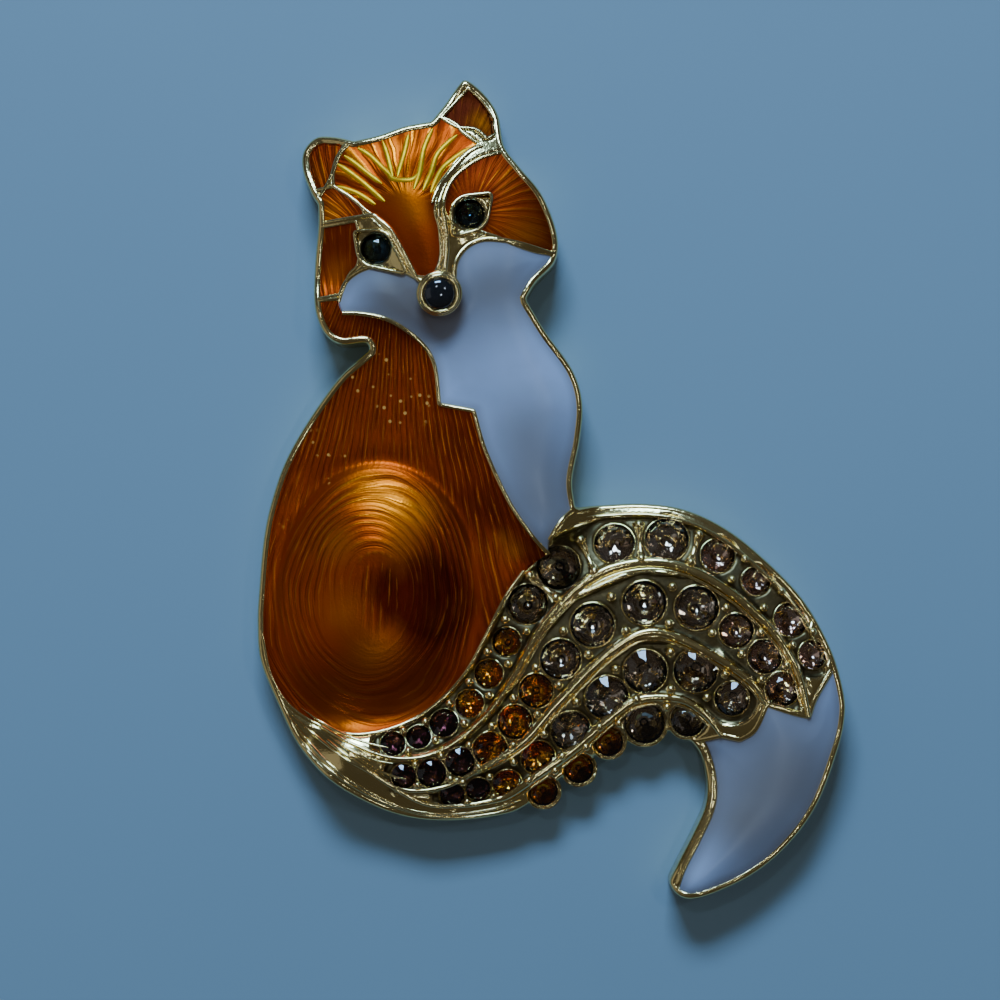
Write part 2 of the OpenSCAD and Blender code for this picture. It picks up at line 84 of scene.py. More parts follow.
CELLS = {
    "body": NECK + CHEST_SEAM + HAUNCH_SEAM + [[-40, 480, 1], [60, 650, 1]],
    "chest": MUZZLE_LEFT + [[311, 734, 1]] + MUZZLE_RIGHT + [[526, 785, 1], [583, 729, 1]]
             + CHEST_FOOT + CHEST_SEAM[::-1],
    "tail_tip": JAG + [[1010, 280, 1], [1010, -10, 1], [694, -10, 1], [694, 22, 1], [736, 120, 1]],
    "forehead": [
        [131, 867, 1], [131, 885], [145, 910], [175, 926], [235, 944], [304, 952], [337, 944], [350, 933],
        [378, 918, 1], [350, 904], [327, 884], [304, 841], [311, 812], [313, 780], [303, 759], [286, 754],
        [265, 759], [250, 779], [219, 815], [179, 841], [158, 854]],
    "temple": [
        [100, 817, 1], [104, 863, 1], [131, 867, 1], [158, 854], [179, 841], [185, 828, 1], [158, 823],
        [133, 820]],
    "cheek_left": [
        [100, 817, 1], [141, 822], [170, 824, 1], [175, 805], [173, 772], [158, 759], [143, 735, 1],
        [100, 729, 1], [90, 775, 1]],
    "cheek_right": [
        [418, 909, 1], [384, 902], [357, 890], [337, 877], [323, 859], [318, 837], [332, 822], [376, 811],
        [406, 804], [437, 795], [469, 788], [502, 785, 1], [507, 807], [503, 834], [473, 873],
        [434, 902, 1]],
    "ear_left": [[78, 929, 1], [155, 924, 1], [136, 902], [126, 878], [107, 854, 1], [73, 885], [70, 906]],
    "ear_right": [
        [359, 990, 1], [313, 952, 1], [340, 940], [372, 937], [391, 925, 1], [410, 933, 1], [406, 948],
        [384, 973]]}
WHITE_CELLS = ("chest", "tail_tip")
FACE_CELLS = ("forehead", "temple", "cheek_left", "cheek_right", "ear_left", "ear_right")
# The gold ridges between the rows of stones.
RIDGES = [
    [[111, 209], [167, 188], [236, 172], [306, 179], [379, 216], [432, 265], [483, 330], [544, 378],
     [610, 404], [691, 409], [772, 388], [857, 340], [912, 284], [935, 223]],
    [[121, 193], [190, 157], [248, 134], [318, 137], [379, 159], [449, 190], [509, 238], [587, 294],
     [652, 323], [707, 320], [782, 293], [840, 263], [864, 238]],
    [[150, 172], [194, 155], [247, 130], [294, 115], [354, 114], [408, 121], [432, 128], [473, 149],
     [537, 182], [602, 222], [649, 243], [718, 243], [760, 225], [789, 200]]]
# Lines of the cast fur on the gold below the haunch.
FUR_LINES = [
    [[60, 222], [104, 196], [150, 172]],
    [[48, 226], [95, 185], [150, 150], [210, 124], [262, 108], [330, 103], [400, 109], [448, 120]],
    [[60, 205], [107, 168], [165, 138], [226, 115], [290, 102], [350, 99], [405, 104], [440, 112]],
    [[75, 232], [111, 214], [150, 200], [190, 190], [225, 185]],
    [[125, 198], [165, 180], [200, 170], [232, 166]],
    [[160, 180], [200, 160], [235, 150], [255, 147]]]
# Wires over the eyes and down the muzzle, with their girth in millimetres.
BROWS = [
    [[110, 822, 0.16], [192, 830, 0.2], [206, 826, 0.22], [228, 812, 0.22], [247, 790, 0.2],
     [265, 765, 0.2], [277, 748, 0.18]],
    [[386, 917, 0.2], [361, 908, 0.26], [335, 888, 0.3], [320, 874, 0.3], [309, 862, 0.28],
     [298, 843, 0.16]],
    [[316, 838, 0.18], [321, 815, 0.24], [323, 790, 0.26], [320, 768, 0.26], [318, 756, 0.22]]]
# Bright rays in the forehead's enamel.
RAYS = [
    [[136, 895], [165, 880], [190, 865], [219, 846]],
    [[148, 905], [170, 893], [190, 881], [214, 868]],
    [[171, 914], [192, 904], [209, 892], [231, 876]],
    [[214, 922], [223, 903], [232, 876]],
    [[258, 931], [252, 908], [240, 876]],
    [[299, 938], [284, 911], [277, 880], [268, 860]],
    [[341, 930], [308, 906], [296, 880], [283, 858]],
    [[363, 914], [334, 899], [313, 884], [296, 856]],
    [[222, 886], [232, 874], [250, 871], [266, 872], [275, 880]],
    [[134, 867], [170, 858], [203, 843]]]
STONE_SIZES = [1.8, 2.1, 2.5, 2.95, 3.2]
TINTS = ["amethyst", "amber", "champagne", "peach"]
# Rows of stones: route of their centres, then each stone's size, its share of the free room and its tint.
ROWS = [
    [[[232, 189], [272, 196], [311, 211], [357, 233], [391, 270], [422, 309], [457, 355], [508, 401],
      [605, 432], [696, 437], [782, 418], [847, 387], [906, 340], [943, 297]],
     [[0, 0, 0], [0, 2, 0], [1, 2, 0], [1, 4, 1], [1, 7, 1], [1, 8, 1], [3, 9, 2], [4, 6, 2],
      [3, 20, 2], [4, 11, 2], [2, 15, 3], [1, 15, 3], [2, 21, 3], [1, 10, 3]]],
    [[[250, 150], [295, 153], [338, 166], [389, 178], [432, 209], [466, 246], [507, 283], [558, 328],
      [650, 360], [744, 355], [813, 327], [862, 295], [891, 256]],
     [[0, 0, 0], [1, 2, 0], [1, 2, 0], [2, 2, 1], [2, 3, 1], [2, 4, 1], [3, 3, 2], [4, 6, 2],
      [4, 16, 2], [4, 11, 2], [2, 8, 3], [2, 5, 3], [2, 3, 3]]],
    [[[332, 127], [376, 134], [425, 141], [478, 173], [532, 204], [594, 245], [659, 277], [745, 278],
      [806, 244]],
     [[0, 0, 0], [0, 2, 0], [1, 3, 1], [2, 9, 1], [3, 5, 2], [4, 7, 2], [4, 3, 2], [4, 7, 2],
      [2, 7, 2]]],
    [[[487, 130], [547, 157], [597, 190], [658, 213], [733, 218]],
     [[1, 0, 1], [1, 13, 1], [1, 11, 1], [3, 6, 2], [2, 6, 2]]]]
EDGE_ROW = 3
# Swells of the face: their rise, and a route of places with its reach.
SWELLS = [
    [1, [[215, 415, 175], [200, 340, 185]]],
    [0.5, [[145, 710, 90], [240, 640, 160], [280, 540, 210], [300, 440, 240], [330, 380, 230]]],
    [0.72, [[410, 700, 140], [450, 600, 150], [440, 520, 140], [480, 460, 90]]],
    [0.72, [[260, 830, 210], [330, 820, 220]]],
    [1, [[270, 850, 90], [311, 740, 85]]],
    [0.72, [[410, 830, 130], [410, 770, 120]]],
    [0.7, [[220, 735, 90], [280, 720, 90]]],
    [0.6, [[160, 168, 75], [294, 162, 105], [413, 199, 135], [507, 266, 165],
           [600, 327, 195], [694, 345, 205], [787, 321, 195], [864, 266, 170]]],
    [0.5, [[864, 266, 170], [898, 193, 128], [864, 120, 102], [796, 59, 76], [745, 22, 48]]]]
# Inner side of the tail's tip, where the gold is broad, and the tail's upper edge.
TIP_SIDE = OUTLINE[31:37] + [[735, 196]]
TAIL_EDGE = OUTLINE[16:24]
NOSE = [311, 734]
# Each eye's middle, its outer corner and its inner corner.
EYES = {"eye_left": [[202, 790], [172, 808], [250, 763]], "eye_right": [[362, 832], [394, 853], [338, 808]]}
HAUNCH_MIDDLE = [207, 366]
HAUNCH_REACH = (7.1, 9.5)
# Middle of the pin, its turn in degrees, and the distance of its bosses from the middle.
PIN_MIDDLE = [330, 505]
PIN_TURN = 4
BOSSES = 7.04

# Points on each run of a smooth path, and the spacing of the lattices that keep distances.
PATH_STEPS = 6
FIELD_STEP = 0.15
# Gold round an edge stone, an eye, an eye's corner and the nose, and at the tail's tip and the ears' edges.
CUP_GOLD = 0.3
EYE_GOLD = 0.28
EYE_CORNER = 0.22
NOSE_GOLD = 0.2
TIP_GOLD = 0.72
EAR_GOLD = 0.62


def length(label, default, about):
    return FloatProperty(name=label, description=about, default=default * MM, min=0, precision=5,
                         subtype="DISTANCE", unit="LENGTH")


def tone(label, default, about):
    return FloatVectorProperty(name=label, description=about, default=default, size=3, min=0, max=1,
                               subtype="COLOR")


class BroochSizes(bpy.types.PropertyGroup):
    """Sizes of the brooch's finish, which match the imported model's."""

    width: length("Width", 43, "Width across the figure")
    height: length("Height", 60, "Height of the figure")
    edge: length("Edge", 2.8, "Height of the casting's outer edge")
    swell: length("Swell", 3.2, "Rise of the fullest swell above the edge")
    shell: length("Shell", 2, "Depth of metal between the face and the hollow back")
    skirt: length("Skirt", 1.3, "Width of the solid skirt round the hollow back")
    rim: length("Rim wire", 0.3, "Radius of the wire round the figure")
    line: length("Cell wire", 0.19, "Radius of the wires between the cells")
    ridge: length("Ridge wire", 0.42, "Radius of the ridges between the rows of stones")
    fur: length("Fur wire", 0.13, "Radius of the cast fur lines")
    ray: length("Ray wire", 0.28, "Radius of the rays in the forehead's enamel")
    cell_depth: length("Cell depth", 0.55, "Depth of the cells below the gold")
    enamel_drop: length("Enamel drop", 0.1, "Drop of the enamel's surface below the gold")
    engraving: length("Engraving", 0.0015, "Height of the fur lines that show in the enamel")
    bed_depth: length("Bed depth", 0.5, "Depth of the stones' beds below the ridges")
    grain: length("Grain", 0.38, "Radius of the grains that hold the largest stones")
    nose: length("Nose", 2.35, "Diameter of the nose ball")
    eye: length("Eye", 2.1, "Diameter of the eye stones")
    mesh_step: length("Mesh step", 0.175, "Spacing of the casting's mesh")
    enamel_step: length("Enamel step", 0.13, "Spacing of the enamel's mesh")
    wire_sides: IntProperty(name="Wire sides", description="Sides of a wire's round section", default=10,
                            min=6, max=24)


class BroochColours(bpy.types.PropertyGroup):
    """Colours of the brooch's metal, enamel and stones."""

    gold: tone("Gold", (0.97, 0.74, 0.31), "Plated gold")
    # Worn gold: the dark colour of the painted shade in the recesses, mottled by wear.
    gold_shade_and_wear: tone("Worn gold", (0.11, 0.08, 0.035), "Gold in the recesses")
    orange: tone("Orange enamel", (0.56, 0.066, 0.002), "Clear orange enamel over metal")
    # Pooled enamel: the dark red-brown along the gold and in the engraved valleys, and the colour of the
    # painted shade.
    orange_pool_and_shade: tone("Pooled enamel", (0.14, 0.010, 0.002), "Enamel where it is deepest")
    # Honey enamel: the colour of the engraved strokes, and of the painted highlights on the orange enamel.
    honey_and_highlight: tone("Honey enamel", (0.88, 0.21, 0.002), "Enamel where it is thinnest")
    white: tone("White enamel", (0.58, 0.70, 0.97), "Opaque white enamel")
    # The white enamel's grey: used at the cell's edge and for the painted shade.
    white_edge_and_shade: tone("White enamel's edge", (0.22, 0.185, 0.175), "White enamel where it is thin")
    jet: tone("Jet", (0.006, 0.006, 0.008), "Black glass of the nose")
    eye: tone("Eye glass", (0.20, 0.32, 0.38), "Dark glass of the eyes")
    amethyst: tone("Amethyst", (0.24, 0.10, 0.11), "Smallest stones by the haunch")
    amber: tone("Amber", (0.86, 0.45, 0.06), "Small stones")
    champagne: tone("Champagne", (0.76, 0.66, 0.56), "Large stones")
    peach: tone("Peach", (0.88, 0.70, 0.60), "Stones towards the tail's tip")
    steel: tone("Pin metal", (0.72, 0.68, 0.56), "Plated steel of the pin")
    floor: tone("Floor", (0.29, 0.43, 0.51), "Pale floor")


def size(name):
    """A size of the brooch in millimetres."""
    return getattr(bpy.context.scene.brooch_sizes, name) / MM


def colour(name):
    return (*getattr(bpy.context.scene.brooch_colours, name), 1)


# Paths and heights, in millimetres.

def half():
    """Half the figure's width and height."""
    return np.array([size("width"), size("height")]) / 2


def place(shares):
    """Places that a table gives in thousandths of the figure."""
    return (np.asarray(shares, float) / 1000 - 0.5) * (size("width"), size("height"))


def far(points, spot):
    """Distance from each point to a spot, or to a spot of its own."""
    return np.linalg.norm(points - spot, axis=1)


def along(path):
    """How far along a path each of its points lies."""
    return np.concatenate([[0], np.cumsum(np.linalg.norm(np.diff(path, axis=0), axis=1))])


def smooth_path(table, closed=False, steps=PATH_STEPS):
    """A smooth path through a table's rows, with sharp corners where it marks them."""
    spots = place([row[:2] for row in table])
    sharp = [len(row) > 2 for row in table]
    count = len(table)

    def nth(i):
        return i % count if closed else min(max(i, 0), count - 1)

    def slope(i, way):
        i = nth(i)
        if sharp[i]:
            return way * (spots[nth(i + way)] - spots[i])
        return (spots[nth(i + 1)] - spots[nth(i - 1)]) / 2

    t = (np.arange(steps) / steps)[:, None]
    parts = []
    for i in range(count if closed else count - 1):
        here, there = spots[i], spots[nth(i + 1)]
        parts.append((2 * t**3 - 3 * t**2 + 1) * here + (t**3 - 2 * t**2 + t) * slope(i, 1)
                     + (3 * t**2 - 2 * t**3) * there + (t**3 - t**2) * slope(i + 1, -1))
    return np.vstack(parts + ([] if closed else [spots[-1:]]))


def even(points, gap, closed=False):
    """The same path with evenly spaced points; further columns are carried along."""
    if closed:
        points = np.vstack([points, points[:1]])
    marks = along(points[:, :2])
    count = max(2, round(marks[-1] / gap))
    at = np.linspace(0, marks[-1], count + 1)[:count if closed else None]
    return np.stack([np.interp(at, marks, column) for column in points.T], 1)


def run_to(points, here, there):
    """Each point's share of the way along a straight run, and its distance from the run."""
    way = there - here
    t = np.clip((points - here) @ way / max(way @ way, 1e-12), 0, 1)
    return t, far(points - here, t[:, None] * way)


def gap_to(points, path, closed=False):
    """Distance from each point to a path."""
    best = np.full(len(points), np.inf)
    for here, there in zip(path if closed else path[:-1], np.roll(path, -1, 0)):
        best = np.minimum(best, run_to(points, here, there)[1])
    return best


def within(points, loop):
    """Signed distance from each point to a closed loop, negative inside it."""
    inside = np.zeros(len(points), bool)
    x, y = points.T
    for (ax, ay), (bx, by) in zip(loop, np.roll(loop, -1, 0)):
        if ay != by:
            inside ^= ((ay > y) != (by > y)) & (x < (bx - ax) * (y - ay) / (by - ay) + ax)
    return np.where(inside, -1, 1) * gap_to(points, loop, True)


def ease(value, low, high):
    """0 below the low value, 1 above the high one and smooth in between."""
    t = np.clip((value - low) / (high - low), 0, 1)
    return t * t * (3 - 2 * t)


def raw_face(points):
    """The face's height as the source has it."""
    total = np.zeros(len(points))
    for rise, route in SWELLS:
        best = np.zeros(len(points))
        for one, two in zip(route, route[1:]):
            t, off = run_to(points, place(one[:2]), place(two[:2]))
            off = off / ((one[2] + t * (two[2] - one[2])) / 1000 * size("width"))
            best = np.maximum(best, 1 - off * off)
        total += (rise * best) ** 4
    return size("edge") + size("swell") * total**0.25


def haunch_round(points):
    """How far out on the haunch's oval a point is, 1 on its crease."""
    return np.linalg.norm((points - place(HAUNCH_MIDDLE)) / HAUNCH_REACH, axis=1)


def crossings(xs, ys):
    """The corners of a lattice, one line of them after the other."""
    return np.stack(np.meshgrid(xs, ys, indexing="ij"), -1).reshape(-1, 2)


class Field:
    """A value over the plan, kept on a fine lattice and read in between."""

    def __init__(self, rule, low, high, step):
        self.low, self.step = low, step
        xs, ys = (np.arange(low[k], high[k] + step, step) for k in (0, 1))
        self.spots = crossings(xs, ys)
        self.values = rule(self.spots).reshape(len(xs), len(ys))

    def __call__(self, points):
        at = np.clip((points - self.low) / self.step, 0, np.array(self.values.shape) - 1.001)
        i, j = at.astype(int).T
        u, v = at.T - (i, j)
        grid = self.values
        return ((1 - u) * ((1 - v) * grid[i, j] + v * grid[i, j + 1])
                + u * ((1 - v) * grid[i + 1, j] + v * grid[i + 1, j + 1]))


@cache
def relief():
    """The face's height, softened, with the haunch's lip and the groove outside it."""
    softness, taps = 0.55, 8
    reach = half() + 3
    field = Field(raw_face, -reach, reach, 0.2)
    bell = np.exp(-0.5 * (np.arange(-taps, taps + 1) * field.step / softness) ** 2)
    bell /= bell.sum()
    for axis in (0, 1):
        field.values = np.apply_along_axis(
            lambda line: np.convolve(np.pad(line, taps, mode="edge"), bell, "valid"), axis, field.values)
    off = haunch_round(field.spots)
    turn = np.arctan2(*(field.spots - place(HAUNCH_MIDDLE)).T[::-1])
    upper = ease(np.cos(turn - math.radians(108)), -0.1, 0.75)
    lip = 0.22 * np.exp(-np.clip(1 - off, 0, None) / 0.3) * ease(-off, -1.05, -0.98)
    groove = 0.16 * np.exp(-((off - 1.07) / 0.07) ** 2)
    field.values += (upper * (lip - groove)).reshape(field.values.shape)
    return field


def ground(points):
    """The face's height at each point."""
    return relief()(points)


def lean_at(spot, reach):
    """The source's slope at a spot, measured over a reach each way."""
    probe = spot + np.array([[-reach, 0], [reach, 0], [0, -reach], [0, reach]])
    low_x, high_x, low_y, high_y = raw_face(probe)
    return np.array([low_x - high_x, low_y - high_y]) / (2 * reach)


# A stone: its node, tint, diameter, place on its bed, slope and row.
Stone = namedtuple("Stone", "name tint wide spot lean row")


def seated(name, tint, wide, spot, row=None):
    """A stone on its bed, square to the face unless it stands in a cup at the edge."""
    base = raw_face(spot[None])[0] - size("bed_depth")
    lean = np.zeros(2) if row == EDGE_ROW else lean_at(spot, wide / 2)
    return Stone(name, tint, wide, np.array([*spot, base]), lean, row)


@cache
def stones():
    """The tail's stones, row by row; what a row leaves free is shared out between them."""
    found = []
    for r, (route, row) in enumerate(ROWS):
        path = smooth_path(route, steps=2)
        marks = along(path)
        wide = np.array([STONE_SIZES[stone[0]] for stone in row])
        filled = np.concatenate([[0], np.cumsum((wide[1:] + wide[:-1]) / 2)])
        shares = np.cumsum([0] + [stone[1] for stone in row[1:]])
        at = filled + (marks[-1] - filled[-1]) * shares / shares[-1]
        for i, s in enumerate(at):
            spot = np.array([np.interp(s, marks, path[:, k]) for k in (0, 1)])
            found.append(seated(f"stone_{r + 1}_{i + 1}", TINTS[row[i][2]], wide[i], spot, r))
    return found


@cache
def eyes():
    return [seated(name, "eye", size("eye"), place(spots[0])) for name, spots in EYES.items()]


def row_of(row):
    return [stone for stone in stones() if stone.row == row]


def neighbours(row):
    """Each stone of a row with the next one."""
    return zip(row_of(row), row_of(row)[1:])


@cache
def outline():
    return even(smooth_path(OUTLINE, True), 0.2, True)


@cache
def edge_field():
    reach = half() + 1
    return Field(lambda points: within(points, outline()), -reach, reach, FIELD_STEP)


def edge_gap(points):
    """Signed distance to the figure's edge with the edge stones' cups, negative inside."""
    gap = edge_field()(points)
    for stone in row_of(EDGE_ROW):
        gap = np.minimum(gap, far(points, stone.spot[:2]) - stone.wide / 2 - CUP_GOLD)
    return gap


@cache
def almond(name):
    """The loop round an eye: its stone's collar drawn out to both corners."""
    spot, outer, inner = place(EYES[name])
    turns = np.radians(np.arange(0, 360, 6))
    ring = np.stack([np.cos(turns), np.sin(turns)], 1)
    reach = np.zeros(len(turns))
    for corner in (outer, inner):
        cloud = np.vstack([ring * (size("eye") / 2 + EYE_GOLD), corner - spot + ring * EYE_CORNER])
        hull = cloud[convex_hull_2d([tuple(p) for p in cloud])]
        for k, way in enumerate(ring):
            for a, b in zip(hull, np.roll(hull, -1, 0)):
                side = b - a
                flat = way[0] * side[1] - way[1] * side[0]
                if abs(flat) > 1e-9:
                    out = (a[0] * side[1] - a[1] * side[0]) / flat
                    share = (a[0] * way[1] - a[1] * way[0]) / flat
                    if out > 0 and -1e-6 <= share <= 1 + 1e-6:
                        reach[k] = max(reach[k], out)
    return spot + ring * reach[:, None]


def nose_gap(points):
    return far(points, place(NOSE)) - size("nose") / 2


@cache
def cell_loop(name):
    return even(smooth_path(CELLS[name], True, 4), 0.3, True)


@cache
def cell_field(name):
    loop, reach = cell_loop(name), 1.2
    return Field(lambda points: within(points, loop), loop.min(0) - reach, loop.max(0) + reach, FIELD_STEP)


def cell_gap(name, points):
    """Signed distance to a cell's edge, which lies under the wires round it."""
    edge = edge_gap(points)
    gap = np.maximum(cell_field(name)(points), edge + size("rim") * 0.9)
    if name in ("chest", "forehead"):
        gap = np.maximum(gap, NOSE_GOLD - nose_gap(points))
    if name == "tail_tip":
        gap = np.maximum(gap, TIP_GOLD - gap_to(points, smooth_path(TIP_SIDE)))
    if name in ("ear_left", "ear_right"):
        gap = np.maximum(gap, edge + EAR_GOLD)
    if name not in ("body", "tail_tip"):
        for eye in EYES:
            gap = np.maximum(gap, -within(points, almond(eye)))
    return gap


# Meshes.

def link(name, data):
    """A new object in the scene."""
    made = bpy.data.objects.new(name, data)
    bpy.context.scene.collection.objects.link(made)
    return made


def keep(name, verts, faces, finish, marks=None, smooth=True):
    """A mesh object at the origin, from places in millimetres, with its marks as point attributes."""
    mesh = bpy.data.meshes.new(name)
    mesh.from_pydata((np.asarray(verts, float) * MM).tolist(), [], [list(map(int, face)) for face in faces])
    for label, values in (marks or {}).items():
        mesh.attributes.new(label, "FLOAT", "POINT").data.foreach_set("value", np.asarray(values, np.float32))
    mesh.polygons.foreach_set("use_smooth", [smooth] * len(mesh.polygons))
    mesh.materials.append(finish)
    mesh.validate()
    return link(name, mesh)


def settle(piece, slot, *nodes):
    """The piece rides on the brooch and stands for its nodes; its slot is not used."""
    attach(piece, BODY)
    if nodes:
        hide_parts(*nodes)


class Lattice:
    """A lattice of square cells that a signed distance picks, its edge drawn onto the distance's zero."""

    def __init__(self, gap, step, low, high):
        self.step = step
        columns, lines = (int(math.ceil((high[k] - low[k]) / step)) for k in (0, 1))
        self.shape = (columns + 1, lines + 1)
        self.spots = crossings(low[0] + np.arange(columns + 1) * step, low[1] + np.arange(lines + 1) * step)
        self.cells = (gap(self.middles()) < 0).reshape(columns, lines)
        self.draw(self.cells, gap)

    def middles(self):
        """The middle of each cell, half a step on from its first corner."""
        return self.spots.reshape(*self.shape, 2)[:-1, :-1].reshape(-1, 2) + self.step / 2

    def index(self, i, j):
        return i * self.shape[1] + j

    def rims(self, cells):
        """The cells' outer edges as pairs of corners, with the cells on their left."""
        padded = np.pad(cells, 1)
        pairs = []
        for di, dj, a, b in ((0, -1, (0, 0), (1, 0)), (1, 0, (1, 0), (1, 1)), (0, 1, (1, 1), (0, 1)),
                             (-1, 0, (0, 1), (0, 0))):
            beside = np.roll(padded, (-di, -dj), (0, 1))[1:-1, 1:-1]
            i, j = np.nonzero(cells & ~beside)
            pairs.append(np.stack([self.index(i + a[0], j + a[1]), self.index(i + b[0], j + b[1])], 1))
        return np.vstack(pairs)

    def draw(self, cells, gap):
        """Moves the corners on the cells' outer edges onto the distance's zero."""
        rim = np.unique(self.rims(cells))
        for _ in range(3):
            spots = self.spots[rim]
            here, probe = gap(spots), self.step / 8
            slope = np.stack([gap(spots + (probe, 0)) - here, gap(spots + (0, probe)) - here], 1) / probe
            slope /= np.maximum(np.linalg.norm(slope, axis=1), 0.3)[:, None]
            self.spots[rim] = spots - np.clip(here, -self.step, self.step)[:, None] * slope

    def quads(self, cells):
        i, j = np.nonzero(cells)
        return np.stack([self.index(i, j), self.index(i + 1, j), self.index(i + 1, j + 1),
                         self.index(i, j + 1)], 1)


def compact(verts, faces, *marks):
    """Drops the places that no face uses."""
    used, back = np.unique(faces, return_inverse=True)
    return (verts[used], back.reshape(faces.shape), *(mark[used] for mark in marks))


def walls(pairs, lower):
    """Wall faces below the edges of a sheet whose lower copy is so many corners on."""
    return np.stack([pairs[:, 1], pairs[:, 0], pairs[:, 0] + lower, pairs[:, 1] + lower], 1)


def lathe(profile, sides):
    """A closed body round the vertical axis from rows of radius and height, from top to bottom."""
    turns = np.arange(sides) * 2 * math.pi / sides
    verts = np.vstack([np.stack([radius * np.cos(turns), radius * np.sin(turns), np.full(sides, height)], 1)
                       for radius, height in profile])
    faces = [list(range(sides))]
    for k in range(0, len(verts) - sides, sides):
        faces += [[k + i, k + sides + i, k + sides + (i + 1) % sides, k + (i + 1) % sides]
                  for i in range(sides)]
    return verts, faces + [list(range(len(verts) - 1, len(verts) - sides - 1, -1))]


def tilt_of(lean):
    """The turn that stands an upright piece square to a slope, as angles round X, Y and Z."""
    steep, way = math.atan(float(np.hypot(*lean))), math.atan2(lean[1], lean[0])
    axis = Vector((math.sin(steep) * math.cos(way), math.sin(steep) * math.sin(way), math.cos(steep)))
    return Vector((0, 0, 1)).rotation_difference(axis).to_euler()


# Finishes.

class Value:
    """A shader value that builds Math nodes when it is used in sums."""

    def __init__(self, finish, socket):
        self.finish, self.socket = finish, socket

    def __add__(self, other):
        return self.finish.math("ADD", self, other)

    def __sub__(self, other):
        return self.finish.math("SUBTRACT", self, other)

    def __rsub__(self, other):
        return self.finish.math("SUBTRACT", other, self)

    def __mul__(self, other):
        return self.finish.math("MULTIPLY", self, other)

    __radd__, __rmul__ = __add__, __mul__


class Nodes:
    """Adds nodes of one family to a tree."""

    def put(self, node, inputs):
        """Feeds inputs by name, or by number as in0, with plain values or from other nodes."""
        for label, value in inputs.items():
            numbered = label[:2] == "in" and label[2:].isdigit()
            socket = node.inputs[int(label[2:]) if numbered else label.replace("_", " ")]
            if isinstance(value, Value):
                value = value.socket
            if isinstance(value, bpy.types.NodeSocket):
                self.tree.links.new(value, socket)
            else:
                socket.default_value = value

    def node(self, kind, settings=None, output=0, **inputs):
        """One node's output; its settings are set first, then its inputs."""
        node = self.tree.nodes.new(kind if "Node" in kind else self.FAMILY + kind)
        for label, value in (settings or {}).items():
            setattr(node, label, value)
        self.put(node, inputs)
        return node.outputs[output]


class Finish(Nodes):
    """Builds one material's nodes."""

    FAMILY = "ShaderNode"

    def __init__(self, name, **settings):
        self.material = bpy.data.materials.new(name)
        self.material.use_nodes = True
        self.tree = self.material.node_tree
        self.tree.nodes.clear()
        self.shader = self.tree.nodes.new("ShaderNodeBsdfPrincipled")
        output = self.tree.nodes.new("ShaderNodeOutputMaterial")
        self.tree.links.new(self.shader.outputs[0], output.inputs["Surface"])
        self.put(self.shader, settings)

    def node(self, *kind, **inputs):
        return Value(self, super().node(*kind, **inputs))

    def math(self, operation, one, two=0.0, clamp=False):
        return self.node("Math", {"operation": operation, "use_clamp": clamp}, in0=one, in1=two)

    def clamped(self, value):
        return self.math("MULTIPLY", value, 1, True)

    def mix(self, share, one, two):
        return self.node("Mix", {"data_type": "RGBA"}, output=2, in0=share, in6=one, in7=two)

    def mark(self, name):
        """A number that the mesh carries on its points."""
        return self.node("Attribute", {"attribute_name": name, "attribute_type": "GEOMETRY"}, output="Fac")

    def coords(self):
        return self.node("TexCoord", output="Object")

    def speckle(self, scale, detail=2.0, stretch=(1, 1, 1), turn=0.0):
        """Noise between 0 and 1, so many times each metre."""
        where = self.node("Mapping", Vector=self.coords(), Scale=stretch, Rotation=(0, 0, turn))
        return self.node("TexNoise", Vector=where, Scale=scale, Detail=detail)

    def span(self, value, low, high, to_low=0.0, to_high=1.0):
        return self.node("MapRange", {"interpolation_type": "SMOOTHSTEP"}, Value=value, in1=low, in2=high,
                         in3=to_low, in4=to_high)

    def bump(self, height, strength, distance):
        normal = self.node("Bump", Height=height, Strength=strength, Distance=distance)
        self.put(self.shader, {"Normal": normal})

    def dress(self, shade, roughness, **more):
        """Feeds the shader its colour, its roughness and what else varies."""
        self.put(self.shader, {"Base Color": shade, "Roughness": roughness, **more})
        return self.material


def turned(shade, rule):
    """A colour whose red, green and blue a rule has changed."""
    return (*map(rule, shade[:3]), 1)


@cache
def gold_finish():
    """Plated gold: darker and browner in the recesses as painted shade, mottled by wear noise, and duller
    there.
    """
    finish = Finish("plated_gold", Metallic=1.0)
    gold, shaded_worn_gold = colour("gold"), colour("gold_shade_and_wear")
    pale = turned(gold, lambda c: min(1, c * 1.1))
    wear = finish.speckle(2200, 3)
    # Painted shade: darker in the recesses, mottled by wear noise.
    deep = finish.span(finish.mark("recess") + (wear - 0.5) * 0.5, 0.05, 0.95)
    patches = finish.span(finish.speckle(260, 2), 0.45, 0.7, 0, 0.5)
    shade = finish.mix(patches, finish.mix(deep, gold, shaded_worn_gold), finish.mix(deep, pale, shaded_worn_gold))
    finish.bump(finish.speckle(5200, 2) * 0.6 + wear * 0.6, 0.25, 0.00008)
    return finish.dress(shade, 0.10 + deep * 0.2 + wear * 0.1)


